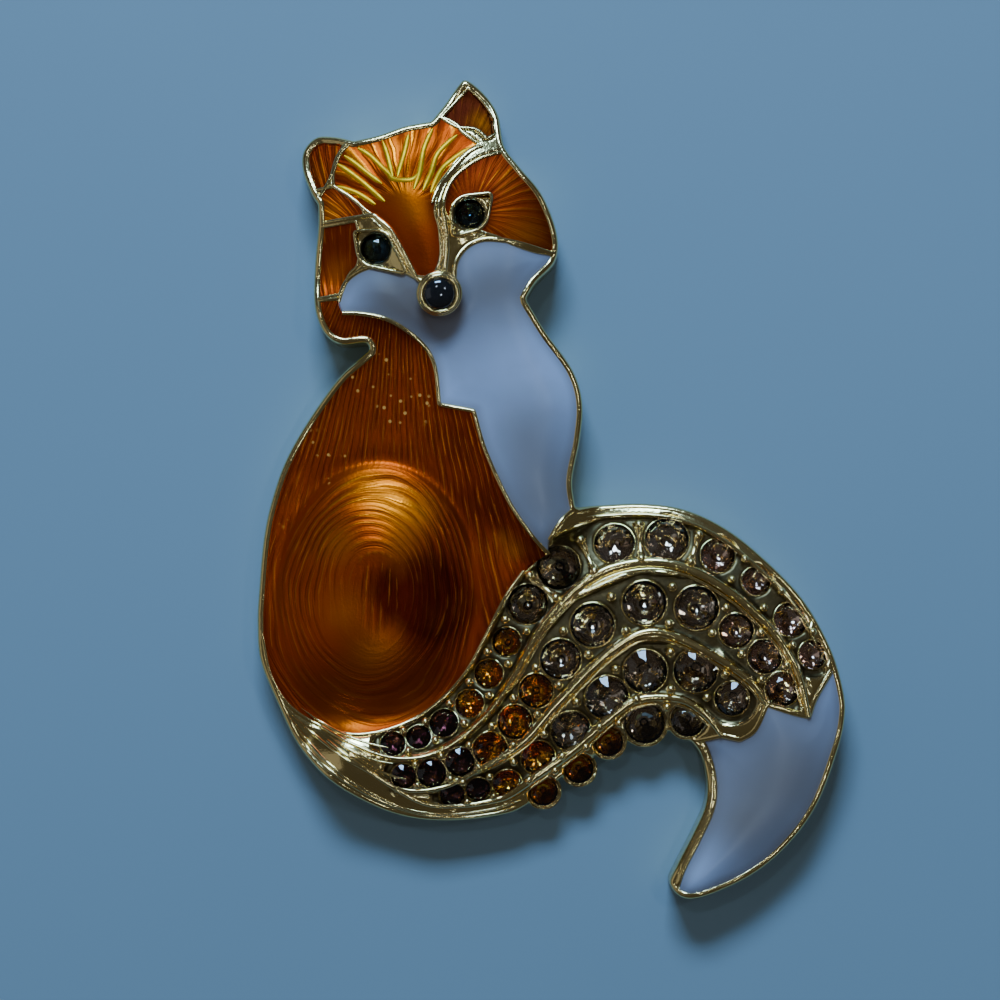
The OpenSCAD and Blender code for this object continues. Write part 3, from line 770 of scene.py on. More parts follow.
def enamel_finish(name, engraved, metal, rough, painted_dimming):
    """Clear enamel over engraved metal, redder where it pools along the gold, with painted shade, painted
    highlights and painted glints in fixed places.
    """
    finish = Finish(name, Metallic=metal, **{"Specular IOR Level": 0.15})
    orange, pool_and_shade, honey_and_highlight = colour("orange"), colour("orange_pool_and_shade"), colour("honey_and_highlight")
    unlit, painted_glint_colour = (0.025, 0.006, 0.002, 1), (1, 0.42, 0.08, 1)
    drift, fine = finish.speckle(380, 3), finish.speckle(5200, 2)
    waver = (drift - 0.5) * 2.5 + (finish.speckle(150, 1) - 0.5) * 6.0
    share = finish.mark("strand_share")

    def lines(mark):
        """The wave across the lines, and a noise that breaks each line into strokes of its own."""
        phase = finish.mark(mark) + waver
        where = finish.node("VectorMath", {"operation": "MULTIPLY_ADD"}, in0=finish.coords(),
                            in1=(420, 420, 420), in2=finish.node("CombineXYZ", X=phase * 0.7))
        return finish.math("SINE", phase), finish.node("TexNoise", Vector=where, Scale=1, Detail=1)

    wave, broken = (ring * (1 - share) + strand * share
                    for ring, strand in zip(lines("rings"), lines("strands")))
    carved = finish.mark("carved") * engraved
    ruffled = wave + (fine - 0.5) * 0.6
    faded = finish.span(broken, 0.35, 0.6)
    stroke = finish.span(ruffled, 0.4, 0.9) * finish.span(broken, 0.5, 0.6) * carved
    valley = finish.span(ruffled, -1.0, -0.2, 1.0, 0.0) * faded * carved
    # Painted shade and painted highlight: patches painted darker and yellower in fixed places.
    deep, glow = (finish.clamped(finish.mark(mark) + (drift - 0.5) * 0.4) for mark in ("deep", "glow"))
    shade = finish.mix(glow, finish.mix(deep, orange, pool_and_shade), honey_and_highlight)
    shade = finish.mix(finish.span(finish.mark("rim_gap"), 0.0, 1.0, 0.6, 0.0), shade, pool_and_shade)
    shade = finish.mix(valley * 0.7, shade, pool_and_shade)
    shade = finish.mix(stroke, shade, finish.mix(glow + 0.8, orange, honey_and_highlight))
    # Painted shade: the whole cell is dimmed towards a near-black unlit colour.
    shade = finish.mix(painted_dimming, shade, unlit)
    # Painted glints: bright dots, not metallic, where flakes would catch the light.
    painted_flecks = finish.span(finish.node("TexVoronoi", Vector=finish.coords(), Scale=1500), 0.12, 0.26, 1.0, 0.0)
    painted_flecks = painted_flecks * finish.span(finish.mark("sparkle") * finish.speckle(900, 1), 0.28, 0.42)
    finish.bump(wave * faded * carved + fine * 0.4, 0.9, 0.00004)
    return finish.dress(finish.mix(painted_flecks, shade, painted_glint_colour), rough + valley * 0.1 - stroke * 0.12,
                        Metallic=metal - painted_flecks * metal)


@cache
def white_finish():
    """Opaque white enamel: glossy, greyer towards the gold at its edge, with painted shade in fixed patches.
    """
    finish = Finish("white_enamel", Metallic=0.0,
                    **{"Coat Weight": 0.5, "Coat Roughness": 0.3, "Coat IOR": 1.5})
    white, edge_and_shade_grey = colour("white"), colour("white_edge_and_shade")
    cloud = finish.speckle(300, 3)
    edge = finish.span(finish.mark("rim_gap") + (cloud - 0.5) * 0.5, 0.0, 0.9, 1.0, 0.0)
    # Painted shade: the deep mark greys the white enamel in fixed patches.
    shade = finish.mix(edge * 0.6, finish.mix(finish.mark("deep"), white, edge_and_shade_grey), edge_and_shade_grey)
    shade = finish.mix(finish.span(cloud, 0.4, 0.75, 0, 0.15), shade, edge_and_shade_grey)
    finish.bump(finish.speckle(700, 2), 0.12, 0.0001)
    return finish.dress(shade, 0.36 + cloud * 0.1)


@cache
def glass_finish(tint):
    """The clear body of a cut stone."""
    finish = Finish(tint + "_glass", Metallic=0.0, IOR=1.56, **{"Transmission Weight": 1.0})
    pale = turned(colour(tint), lambda c: 1 - (1 - c) * 0.3)
    cloud = finish.span(finish.speckle(900, 1), 0.35, 0.65)
    return finish.dress(finish.mix(cloud, pale, turned(pale, lambda c: c * 0.93)), 0.0)


@cache
def foil_finish(tint):
    """The mirror foil behind a cut stone."""
    finish = Finish(tint + "_foil", Metallic=1.0)
    cloud = finish.span(finish.speckle(1100, 1), 0.3, 0.7)
    shade = finish.mix(cloud, colour(tint), turned(colour(tint), lambda c: c ** 1.4))
    return finish.dress(shade, 0.03 + finish.speckle(4000, 2) * 0.04)


@cache
def jet_finish():
    """Black glass."""
    finish = Finish("jet_glass", Metallic=0.0, **{"Coat Weight": 1.0, "Coat Roughness": 0.01})
    fine = finish.speckle(2600, 2)
    finish.bump(fine, 0.03, 0.00002)
    return finish.dress(finish.mix(fine, colour("jet"), (0.02, 0.018, 0.02, 1)), 0.03 + fine * 0.05)


@cache
def pin_finish():
    """Rolled and plated steel with fine lines along the bar."""
    finish = Finish("pin_metal", Metallic=1.0)
    drawn = finish.speckle(9000, 2, stretch=(1, 0.04, 1), turn=math.radians(PIN_TURN))
    patches = finish.span(finish.speckle(500, 2), 0.4, 0.7)
    finish.bump(drawn, 0.2, 0.00004)
    return finish.dress(finish.mix(patches, colour("steel"), colour("gold")), 0.2 + drawn * 0.25)


@cache
def ray_finish():
    """Gold seen through the last film of the forehead's enamel."""
    finish = Finish("ray_gold", Metallic=0.9)
    fine = finish.speckle(3000, 2)
    finish.bump(fine, 0.2, 0.00003)
    shade = finish.mix(finish.span(fine, 0.35, 0.65), (1.0, 0.58, 0.02, 1), (1.0, 0.44, 0.008, 1))
    return finish.dress(shade, 0.42 + fine * 0.1)


@cache
def floor_finish():
    """The plain pale floor."""
    finish = Finish("pale_floor", Metallic=0.0)
    cloud = finish.speckle(14, 3)
    shade = finish.mix(cloud, colour("floor"), turned(colour("floor"), lambda c: c * 0.9))
    return finish.dress(shade, 0.5 + cloud * 0.2)


# Trees that repeat and sweep.

class Tree(Nodes):
    """Builds one geometry tree with named inputs."""

    FAMILY = "GeometryNode"

    def __init__(self, name, **inputs):
        self.tree = bpy.data.node_groups.new(name, "GeometryNodeTree")
        self.tree.interface.new_socket("Geometry", in_out="INPUT", socket_type="NodeSocketGeometry")
        for label, kind in inputs.items():
            self.tree.interface.new_socket(label, in_out="INPUT", socket_type="NodeSocket" + kind)
        self.tree.interface.new_socket("Geometry", in_out="OUTPUT", socket_type="NodeSocketGeometry")
        self.inlet = self.tree.nodes.new("NodeGroupInput")

    def given(self, label):
        return self.inlet.outputs[label]

    def mark(self, name, kind="FLOAT"):
        return self.node("InputNamedAttribute", {"data_type": kind}, output="Attribute", Name=name)

    def smooth(self, geometry):
        return self.node("SetShadeSmooth", Geometry=geometry, Shade_Smooth=True)

    def on_points(self, shape, **turn):
        """The shape on each point, as large as the point's girth."""
        return self.node("InstanceOnPoints", Points=self.given("Geometry"), Instance=shape,
                         Scale=self.mark("girth"), **turn)

    def tilt(self):
        """The turn that a point's tilt says."""
        return self.node("FunctionNodeEulerToRotation", Euler=self.mark("tilt", "FLOAT_VECTOR"))

    def end(self, geometry, *finishes):
        """Realized, with its finishes: pairs of an input's name and of what picks the faces."""
        geometry = self.node("RealizeInstances", Geometry=geometry)
        for material, picked in finishes:
            geometry = self.node("SetMaterial", Geometry=geometry, Material=self.given(material), **picked)
        outlet = self.tree.nodes.new("NodeGroupOutput")
        self.tree.links.new(geometry, outlet.inputs[0])
        return self.tree


@cache
def wire_tree():
    """Round wire along each path, as thick as the path's girth says."""
    tree = Tree("round_wire", Sides="Int", Finish="Material")
    path = tree.node("MeshToCurve", Mesh=tree.given("Geometry"))
    section = tree.node("CurvePrimitiveCircle", Resolution=tree.given("Sides"), Radius=1.0)
    wire = tree.node("CurveToMesh", Curve=path, Profile_Curve=section, Scale=tree.mark("girth"),
                     Fill_Caps=True)
    return tree.end(tree.smooth(wire), ("Finish", {}))


@cache
def grain_tree():
    """A small round grain on each point."""
    tree = Tree("gold_grain", Finish="Material")
    grain = tree.node("MeshIcoSphere", Radius=1.0, Subdivisions=2)
    return tree.end(tree.on_points(tree.smooth(grain)), ("Finish", {}))


@cache
def collar_tree():
    """A thin ring of gold round each stone, square to its slope."""
    tree = Tree("stone_collar", Wire="Float", Finish="Material")
    ring = tree.node("CurvePrimitiveCircle", Resolution=32, Radius=1.0)
    section = tree.node("CurvePrimitiveCircle", Resolution=6, Radius=tree.given("Wire"))
    ring = tree.node("CurveToMesh", Curve=ring, Profile_Curve=section)
    return tree.end(tree.on_points(tree.smooth(ring), Rotation=tree.tilt()), ("Finish", {}))


@cache
def stone_tree():
    """A cut stone on each point, square to its slope, with foil on its back facets."""
    tree = Tree("cut_stone", Cut="Object", Glass="Material", Foil="Material")
    cut = tree.node("ObjectInfo", output="Geometry", Object=tree.given("Cut"))
    return tree.end(tree.on_points(cut, Rotation=tree.tilt()), ("Glass", {}),
                    ("Foil", {"Selection": tree.mark("foil", "BOOLEAN")}))


def grow(piece, group, **inputs):
    """Runs a tree on an object and leaves its result as a plain mesh."""
    modifier = piece.modifiers.new("tree", "NODES")
    modifier.node_group = group
    for item in group.interface.items_tree:
        if item.in_out == "INPUT" and item.name in inputs:
            modifier[item.identifier] = inputs[item.name]
    bpy.context.view_layer.update()
    made = bpy.data.meshes.new_from_object(piece.evaluated_get(bpy.context.evaluated_depsgraph_get()))
    piece.modifiers.clear()
    old, piece.data = piece.data, made
    bpy.data.meshes.remove(old)
    made.name = piece.name
    return piece


def points_piece(name, spots, girths, tilts=None, edges=()):
    """A scratch mesh of loose points, or of paths, for a tree to build on."""
    mesh = bpy.data.meshes.new(name)
    mesh.from_pydata((np.asarray(spots) * MM).tolist(), [tuple(map(int, edge)) for edge in edges], [])
    mesh.attributes.new("girth", "FLOAT", "POINT").data.foreach_set("value", np.asarray(girths) * MM)
    if tilts is not None:
        mesh.attributes.new("tilt", "FLOAT_VECTOR", "POINT").data.foreach_set("vector", np.ravel(tilts))
    return link(name, mesh)


def wires_piece(name, wires, finish):
    """Round wires, each given by its places, its girth and whether it closes."""
    spots, girths, edges, count = [], [], [], 0
    for path, girth, closed in wires:
        n = len(path)
        spots.append(path)
        girths.append(np.broadcast_to(girth, n))
        edges += [(count + i, count + (i + 1) % n) for i in range(n if closed else n - 1)]
        count += n
    piece = points_piece(name, np.vstack(spots), np.concatenate(girths), edges=edges)
    return grow(piece, wire_tree(), Sides=bpy.context.scene.brooch_sizes.wire_sides, Finish=finish)


def laid(path, girth, proud=0.03, closed=False, thick=None):
    """A wire on the face, a little proud of it for that girth: its places, its girth and whether it closes."""
    return (np.column_stack([path, ground(path) - girth + proud]), girth if thick is None else thick, closed)


def aside(path, way, off):
    """A path moved so far to the right of the way it runs."""
    way = way / np.linalg.norm(way, axis=1)[:, None]
    return path + np.stack([way[:, 1], -way[:, 0]], 1) * np.broadcast_to(off, len(path))[:, None]


def runs(path, kept, closed):
    """The stretches of a path that are kept."""
    if kept.all():
        return [(path, closed)]
    if closed:
        start = int(np.nonzero(~kept)[0][0])
        path, kept = np.roll(path, -start, 0), np.roll(kept, -start)
    cuts = np.nonzero(np.diff(np.concatenate([[0], kept.astype(int), [0]])))[0].reshape(-1, 2)
    return [(path[a:b], False) for a, b in cuts if b - a > 3]


def tapered(path, girth, ends=0.8):
    """Girths that thin out towards both ends of a path."""
    marks = along(path)
    return girth * np.sqrt(np.clip(np.minimum(marks, marks[-1] - marks) / ends, 0.05, 1))


# The pieces.

class BROOCH_OT_casting(bpy.types.Operator):
    """Builds the cast gold: its face with cells and beds, its walls, its hollow back and the pin's bosses."""

    bl_idname = "brooch.casting"
    bl_label = "Casting"

    # Room of a bed round the line of its stones, and the gold between it and the ridges, edge and cells.
    BED_ROOM = 0.6
    RIDGE_GOLD = 0.3
    EDGE_GOLD = 0.95
    CELL_GOLD = 0.2
    # Room of a seat round its stone, and its depth for a stone's diameter and beyond it.
    SEAT_ROOM = 0.12
    SEAT_DEPTH = (0.34, 0.12)
    # Depth of an eye's almond beside its stone, and of the nose's socket.
    EYE_DEPTH = 0.28
    NOSE_DEPTH = 0.4
    # The wall's rows lie so far below the face and above the floor, and the gold is darker and duller there,
    # with some of the painted recess shade.
    WALL_ROW = 0.25
    WALL_RECESS = 0.35
    # Radius and height of a boss's rows, from its foot in the hollow to the pin.
    BOSS = [(1.2, 3.2), (1.2, 2.5), (1.15, 2.27), (1.05, 2.25)]

    def execute(self, context):
        reach = half() + 0.4
        sheet = Lattice(edge_gap, size("mesh_step"), -reach, reach)
        count = len(sheet.spots)
        hollow = sheet.cells & (edge_gap(sheet.middles()) < -size("skirt")).reshape(sheet.cells.shape)
        used = np.unique(sheet.quads(sheet.cells))
        top, recess, flat = np.zeros(count), np.zeros(count), np.zeros(count)
        top[used], recess[used] = self.face(sheet.spots[used])
        under = sheet.spots.copy()
        rim = sheet.rims(sheet.cells)
        sheet.draw(hollow, lambda spots: edge_gap(spots) + size("skirt"))
        # Layers of corners: face, underside, ceiling of the hollow, and the wall's upper and lower row.
        verts = np.vstack([np.column_stack(layer) for layer in (
            (under, top), (sheet.spots, flat), (sheet.spots, ground(sheet.spots) - size("shell")),
            (under, top - self.WALL_ROW), (under, flat + self.WALL_ROW))])
        faces = np.vstack([
            sheet.quads(sheet.cells), walls(rim, 3 * count), walls(rim + 3 * count, count),
            walls(rim + 4 * count, -3 * count),
            sheet.quads(sheet.cells & ~hollow)[:, ::-1] + count,
            walls(sheet.rims(hollow), -count)[:, ::-1] + 2 * count,
            sheet.quads(hollow)[:, ::-1] + 2 * count])
        recess = np.concatenate([recess, flat, flat, np.full(2 * count, self.WALL_RECESS)])
        verts, faces, recess = compact(verts, faces, recess)
        faces = faces.tolist()
        boss, sides = lathe(self.BOSS, 28)
        turn = math.radians(-PIN_TURN)
        for way in (-1, 1):
            spot = place(PIN_MIDDLE) + way * BOSSES * np.array([-math.sin(turn), math.cos(turn)])
            faces += [[k + len(verts) for k in face] for face in sides]
            verts = np.vstack([verts, boss + (*spot, 0)])
            recess = np.concatenate([recess, np.zeros(len(boss))])
        piece = keep("cast_body", verts, faces, gold_finish(), {"recess": recess})
        settle(piece, "gold_plate", "casting")
        return {"FINISHED"}

    def face(self, spots):
        """Height of the gold's face, and how deep in a recess each place is."""
        edge, nose, rim = edge_gap(spots), nose_gap(spots), size("rim")
        cell = np.min([cell_gap(name, spots) for name in CELLS], axis=0)
        bed = np.full(len(spots), np.inf)
        for row in range(EDGE_ROW):
            for one, two in neighbours(row):
                t, off = run_to(spots, one.spot[:2], two.spot[:2])
                bed = np.minimum(bed, off - (one.wide + t * (two.wide - one.wide)) / 2 - self.BED_ROOM)
        for table in RIDGES:
            bed = np.maximum(bed, self.RIDGE_GOLD - gap_to(spots, even(smooth_path(table), 0.4)))
        bed = np.maximum(np.maximum(bed, edge + self.EDGE_GOLD), self.CELL_GOLD - cell)
        seat = np.zeros(len(spots))
        for stone in stones() + eyes():
            off, radius = far(spots, stone.spot[:2]), stone.wide / 2
            bed = np.minimum(bed, off - radius - self.SEAT_ROOM)
            deep = self.SEAT_DEPTH[0] * stone.wide + self.SEAT_DEPTH[1]
            seat = np.maximum(seat, ease(-off, -radius - 0.02, self.SEAT_ROOM - radius) * deep)
        floor = np.maximum(ease(-cell, -0.1, 0.08) * size("cell_depth"),
                           ease(-bed, -0.12, 0.12) * size("bed_depth"))
        for eye in EYES:
            inner = ease(-within(spots, almond(eye)), -0.05, 0.1)
            floor = floor * (1 - inner) + inner * (self.EYE_DEPTH + 0.1 * inner)
        floor = np.where(nose < 0.5, floor * ease(nose, 0.3, 0.5), floor)
        floor += ease(-nose, -0.1, 0.1) * self.NOSE_DEPTH
        rounded = (1 + np.minimum(edge, 0) / rim).clip(0) ** 2
        floor = np.maximum(floor, rim * (1 - np.sqrt(np.clip(1 - rounded, 0, 1))))
        # How deep in a recess each place is; the gold's finish paints shade from it.
        recess = np.maximum(ease(-bed, -0.15, 0.1), ease(-cell, -0.1, 0.1)) * 0.9
        return ground(spots) - floor - seat, recess


class BROOCH_OT_wires(bpy.types.Operator):
    """Lays the gold wires: the rim, the lines between the cells, the tail's ridges, the brows and the fur."""

    bl_idname = "brooch.wires"
    bl_label = "Wires"

    # The seams between the cells, each with its share of the cell wire's girth.
    SEAMS = ((CHEST_SEAM, 1), (HAUNCH_SEAM, 1), (MUZZLE_LEFT, 1.1), (MUZZLE_RIGHT, 1.25), (CHEST_FOOT, 1),
             (JAG, 1.4), (NECK, 1))
    LOOP_GIRTH = 0.85
    # A ridge's girth along its length, how far it stands proud, and the thin wire below it.
    RIDGE_GIRTHS = ([0, 0.3, 0.55, 0.8, 1], [0.3, 0.42, 1, 0.85, 0.5])
    RIDGE_PROUD = 0.16
    LOW_GIRTH = 0.13
    # Wires inside the figure's edge: path, distance from it, girth, height above the face, and stretch.
    INNER_EDGES = ((TAIL_EDGE, 0.82, 0.16, 0.1, slice(3, -3)), (TIP_SIDE, 0.42, 0.36, 0.02, slice(4, None)))
    EYE_GIRTH = 0.15

    def execute(self, context):
        wires = [laid(path, size("rim"), closed=closed) for path, closed in self.rims()]
        for table, share in self.SEAMS:
            wires += self.inner(smooth_path(table), size("line") * share, False)
        for name in FACE_CELLS:
            wires += self.inner(smooth_path(CELLS[name], True), size("line") * self.LOOP_GIRTH, True)
        for table in RIDGES:
            path = even(smooth_path(table), 0.2)
            girth = size("ridge") * np.interp(np.linspace(0, 1, len(path)), *self.RIDGE_GIRTHS)
            wires.append(laid(path, girth, self.RIDGE_PROUD))
            start, low = len(path) // 3, self.LOW_GIRTH
            path = self.beside(path[start:], girth[start:] + low)
            wires.append(laid(path, low, -0.08, thick=tapered(path, low)))
        for table, off, girth, proud, stretch in self.INNER_EDGES:
            path = self.beside(even(smooth_path(table), 0.2), off)[stretch]
            wires.append(laid(path, girth, proud, thick=tapered(path, girth)))
        for table in FUR_LINES:
            path = even(smooth_path(table), 0.2)
            wires.append(laid(path, tapered(path, size("fur"), 2.5), 0.09))
        for table in BROWS:
            at = np.arange((len(table) - 1) * PATH_STEPS + 1) / PATH_STEPS
            girth = np.interp(at, np.arange(len(table)), [row[2] for row in table])
            path = even(np.column_stack([smooth_path([row[:2] for row in table]), girth]), 0.15)
            path, girth = path[:, :2], path[:, 2]
            wires.append(laid(path, tapered(path, girth, 0.4), 0.12))
        for eye in EYES:
            wires.append(laid(even(almond(eye), 0.15, True), self.EYE_GIRTH, 0.16, closed=True))
        settle(wires_piece("gold_wires", wires, gold_finish()), "gold_plate")
        return {"FINISHED"}

    @staticmethod
    def beside(path, off):
        """A path that runs so far to the right of another."""
        return aside(path, np.gradient(path, axis=0), off)

    @staticmethod
    def rims():
        """The rim's stretches inside the figure's edge, without the one that the edge stones take."""
        rim, loop = size("rim"), outline()
        path = aside(loop, np.roll(loop, -1, 0) - np.roll(loop, 1, 0), rim)
        blocked = np.zeros(len(path), bool)
        for stone in row_of(EDGE_ROW):
            blocked |= far(path, stone.spot[:2]) <= stone.wide / 2 + 0.1
        kept = blocked | (-within(path, loop) > rim * 0.97)
        return runs(path[kept], ~blocked[kept], True)

    @staticmethod
    def inner(points, girth, closed):
        """Wires along the part of a path that isn't under the rim or in the nose or an eye."""
        path = even(points, 0.15, closed)
        kept = (within(path, outline()) < -size("rim") * 0.8) & (nose_gap(path) > 0.1)
        for eye in EYES:
            kept &= within(path, almond(eye)) > -0.05
        return [laid(run, girth, closed=shut) for run, shut in runs(path, kept, closed)]


class BROOCH_OT_grains(bpy.types.Operator):
    """Sets the gold grains and star webs between the stones, and the collars round them."""

    bl_idname = "brooch.grains"
    bl_label = "Grains and collars"

    # Distance of a grain, and of a star web's end, from the row's line as shares of the smaller stone.
    GRAIN_OFF = 0.42
    STAR_OFF = 0.45
    # A star web stands between stones of the first row that are larger than this.
    STAR_STONE = 2.4
    COLLAR_WIRE = 0.05

    def execute(self, context):
        spots, girths, stars = [], [], []
        for row in range(len(ROWS)):
            for one, two in neighbours(row):
                way = two.spot[:2] - one.spot[:2]
                apart = np.linalg.norm(way)
                way = way / apart
                left = np.array([-way[1], way[0]])
                small = min(one.wide, two.wide)
                girth = size("grain") * (0.55 + 0.45 * small / STONE_SIZES[-1])
                middle = one.spot[:2] + way * (one.wide / 2 + apart - two.wide / 2) / 2
                for side in (-1, 1):
                    spot = middle + side * left * small * self.GRAIN_OFF
                    if edge_gap(spot[None])[0] <= -girth:
                        spots.append([*spot, ground(spot[None])[0] - size("bed_depth") + 0.5])
                        girths.append(girth)
                if row == 0 and small > self.STAR_STONE:
                    share = np.linspace(-1, 1, 11)
                    across = share[:, None] * left * small * self.STAR_OFF + middle
                    stars.append(laid(across, 0.2, -0.05, thick=girth * (0.5 + 0.9 * share ** 2)))
        grains = points_piece("gold_grains", spots, girths)
        settle(grow(grains, grain_tree(), Finish=gold_finish()), "gold_plate")
        settle(wires_piece("prong_stars", stars, gold_finish()), "gold_plate")
        held = stones() + eyes()
        collars = points_piece(
            "stone_collars", [stone.spot - (0, 0, 0.04) for stone in held],
            [stone.wide / 2 + 0.05 for stone in held], [tilt_of(stone.lean) for stone in held])
        settle(grow(collars, collar_tree(), Wire=self.COLLAR_WIRE, Finish=gold_finish()), "gold_plate")
        return {"FINISHED"}


class BROOCH_OT_enamel(bpy.types.Operator):
    """Fills the cells with clear orange and white enamel."""

    bl_idname = "brooch.enamel"
    bl_label = "Enamel"

    # Spacing of the engraved strands, how much wider it is on the forehead, and that of the haunch's rings.
    LINE_GAP = 0.55
    FOREHEAD_GAP = 1.8
    RING_GAP = 0.6
    # Distance from the haunch's middle to its crease, and to where its rings and strands cross.
    HAUNCH_SPAN = 8.2
    CROSSINGS = ((8.45, 0.4), (2.5, 0.6))
    # Each orange cell's strength of engraving, share of metal that shows, roughness and share of painted
    # shade, which dims the whole cell towards near-black.
    DEPTHS = {
        "body": (1.0, 0.88, 0.4, 0.0), "forehead": (1.0, 0.95, 0.44, 0.0), "temple": (0.5, 0.8, 0.4, 0.0),
        "cheek_left": (0.5, 0.8, 0.4, 0.0), "cheek_right": (0.45, 0.9, 0.5, 0.2),
        "ear_left": (0.5, 0.9, 0.5, 0.0), "ear_right": (0.2, 0.97, 0.5, 0.7)}
    # The root that each cell's strands fan out from.
    FANS = {
        "body": (243, 912), "forehead": (255, 838), "temple": (200, 800), "cheek_left": (160, 560),
        "cheek_right": (362, 832), "ear_left": (140, 800), "ear_right": (330, 860)}
    # Painted highlight: where the orange enamel is painted yellow as if it caught the light. Place, reach and
    # strength.
    PAINTED_HIGHLIGHTS = {
        "body": [
            (184, 501, 1.3, 0.5), (225, 487, 1.5, 1.0), (275, 470, 1.4, 0.7), (250, 437, 1.5, 0.4),
            (140, 430, 1.4, 0.5), (150, 350, 1.6, 0.4), (201, 300, 1.7, 0.6), (438, 424, 0.7, 0.7),
            (420, 440, 0.6, 0.5), (150, 215, 2.6, 0.35), (280, 225, 2.2, 0.25)],
        "forehead": [(235, 915, 2.2, 0.3), (250, 862, 1.2, 0.5), (270, 835, 1.2, 0.6)],
        "temple": [(120, 830, 1.2, 0.8)], "cheek_left": [(140, 762, 1.2, 0.4)],
        "cheek_right": [(455, 800, 1.6, 0.6)], "ear_left": [(100, 880, 1, 0.3)],
        "ear_right": [(385, 942, 1.0, 0.8)]}
    # Painted shade: where the orange enamel is painted dark red-brown and the white enamel grey, in place of
    # shade and dark reflections, such as the painted shadow below the nose. Place, reach and strength.
    PAINTED_SHADES = {
        "body": [
            (268, 390, 3.0, 1.0), (298, 345, 3.0, 1.0), (230, 370, 1.6, 0.6), (371, 363, 3.2, 0.35),
            (385, 480, 3.5, 0.65), (345, 565, 2.6, 0.7), (294, 241, 3.0, 0.25), (124, 235, 3, 0.15),
            (220, 700, 2.5, 0.6)],
        "forehead": [
            (150, 895, 1.6, 0.2), (300, 840, 0.8, 0.4), (292, 780, 1.4, 0.3), (345, 920, 2.0, 0.4),
            (195, 880, 1.5, 0.2)],
        "temple": [(165, 838, 1, 0.4)], "cheek_left": [(141, 800, 2, 0.6)],
        "cheek_right": [(362, 882, 2.5, 0.6), (430, 863, 2.2, 0.4)],
        "ear_left": [(104, 900, 1.8, 0.75)], "ear_right": [(354, 961, 4.0, 1.0)],
        "chest": [
            (300, 676, 4.0, 0.35), (223, 738, 4.5, 0.9), (420, 745, 4.5, 0.85), (490, 480, 5.5, 0.9),
            (450, 580, 3.5, 0.5)],
        "tail_tip": [(889, 150, 8.5, 0.95), (800, 80, 3, 0.3)]}
    # Painted glints: where tiny flakes of metal are painted as bright dots. Place, reach and strength.
    PAINTED_GLINT_ZONES = {
        "body": [(200, 635, 2.4, 1.0), (255, 598, 2.4, 1.0), (110, 540, 3.0, 0.9), (30, 430, 2.5, 0.8)]}

    def execute(self, context):
        for name in CELLS:
            white = name in WHITE_CELLS
            finish = white_finish() if white else enamel_finish(name + "_enamel", *self.DEPTHS[name])
            piece = self.fill(name, finish, white)
            settle(piece, "white_enamel" if white else "orange_enamel", "enamel_" + name)
        return {"FINISHED"}

    def fill(self, name, finish, white):
        """One cell's enamel: it creeps up the gold at its edge, and ends just above the cell's floor."""
        loop = cell_loop(name)
        low, high = np.maximum(loop.min(0), -half()) - 0.3, np.minimum(loop.max(0), half()) + 0.3
        sheet = Lattice(lambda spots: cell_gap(name, spots), size("enamel_step"), low, high)
        count = len(sheet.spots)
        used = np.unique(sheet.quads(sheet.cells))
        spots = sheet.spots[used]
        inner = np.maximum(-cell_gap(name, spots), 0)
        top = ground(spots) - size("enamel_drop") + 0.02 * np.exp(-inner / 0.2)
        if white:
            # For the white enamel the deep mark carries the painted shade.
            marks = {"deep": self.blobs(self.PAINTED_SHADES[name], spots)}
            top += 0.10 * ease(inner, 0, 2.2)
        else:
            marks = self.engraving(name, spots)
            share = marks["strand_share"]
            lines = np.sin(marks["rings"]) * (1 - share) + np.sin(marks["strands"]) * share
            top += size("engraving") * lines * ease(inner, 0.1, 0.8)
        marks["rim_gap"] = inner

        def spread(values):
            """The values on all of the sheet's corners."""
            full = np.zeros(count)
            full[used] = values
            return full

        base = ground(spots) - size("cell_depth") + 0.05
        verts = np.vstack([np.column_stack([sheet.spots, spread(height)]) for height in (top, base)])
        faces = np.vstack([sheet.quads(sheet.cells), walls(sheet.rims(sheet.cells), count),
                           sheet.quads(sheet.cells)[:, ::-1] + count])
        verts, faces, *full = compact(verts, faces, *(np.tile(spread(marks[label]), 2) for label in marks))
        return keep(name + "_enamel", verts, faces, finish, dict(zip(marks, full)))

    def engraving(self, name, spots):
        """The fur lines under the enamel: rings on the haunch, strands that fan out elsewhere; with the
        painted highlight, painted shade and painted glint marks.
        """
        off = spots - place(self.FANS[name])
        reach = np.median(np.linalg.norm(off, axis=1))
        main = np.median(off, axis=0)
        turn = np.arctan2(main[0] * off[:, 1] - main[1] * off[:, 0], off @ main)
        wider = self.FOREHEAD_GAP if name == "forehead" else 1
        strands = turn * reach / self.LINE_GAP / wider * 2 * math.pi
        if name == "body":
            rings, share, carved = self.haunch(spots)
        else:
            rings, share = np.zeros(len(spots)), np.ones(len(spots))
            carved = ease(np.linalg.norm(off, axis=1), 0.8, 2.5)
        if name == "forehead":
            carved *= ease(off[:, 1], 0, 1.5)
        return {"rings": rings, "strands": strands, "strand_share": share, "carved": carved,
                "glow": self.blobs(self.PAINTED_HIGHLIGHTS[name], spots), "deep": self.blobs(self.PAINTED_SHADES[name], spots),
                "sparkle": self.blobs(self.PAINTED_GLINT_ZONES.get(name, []), spots)}

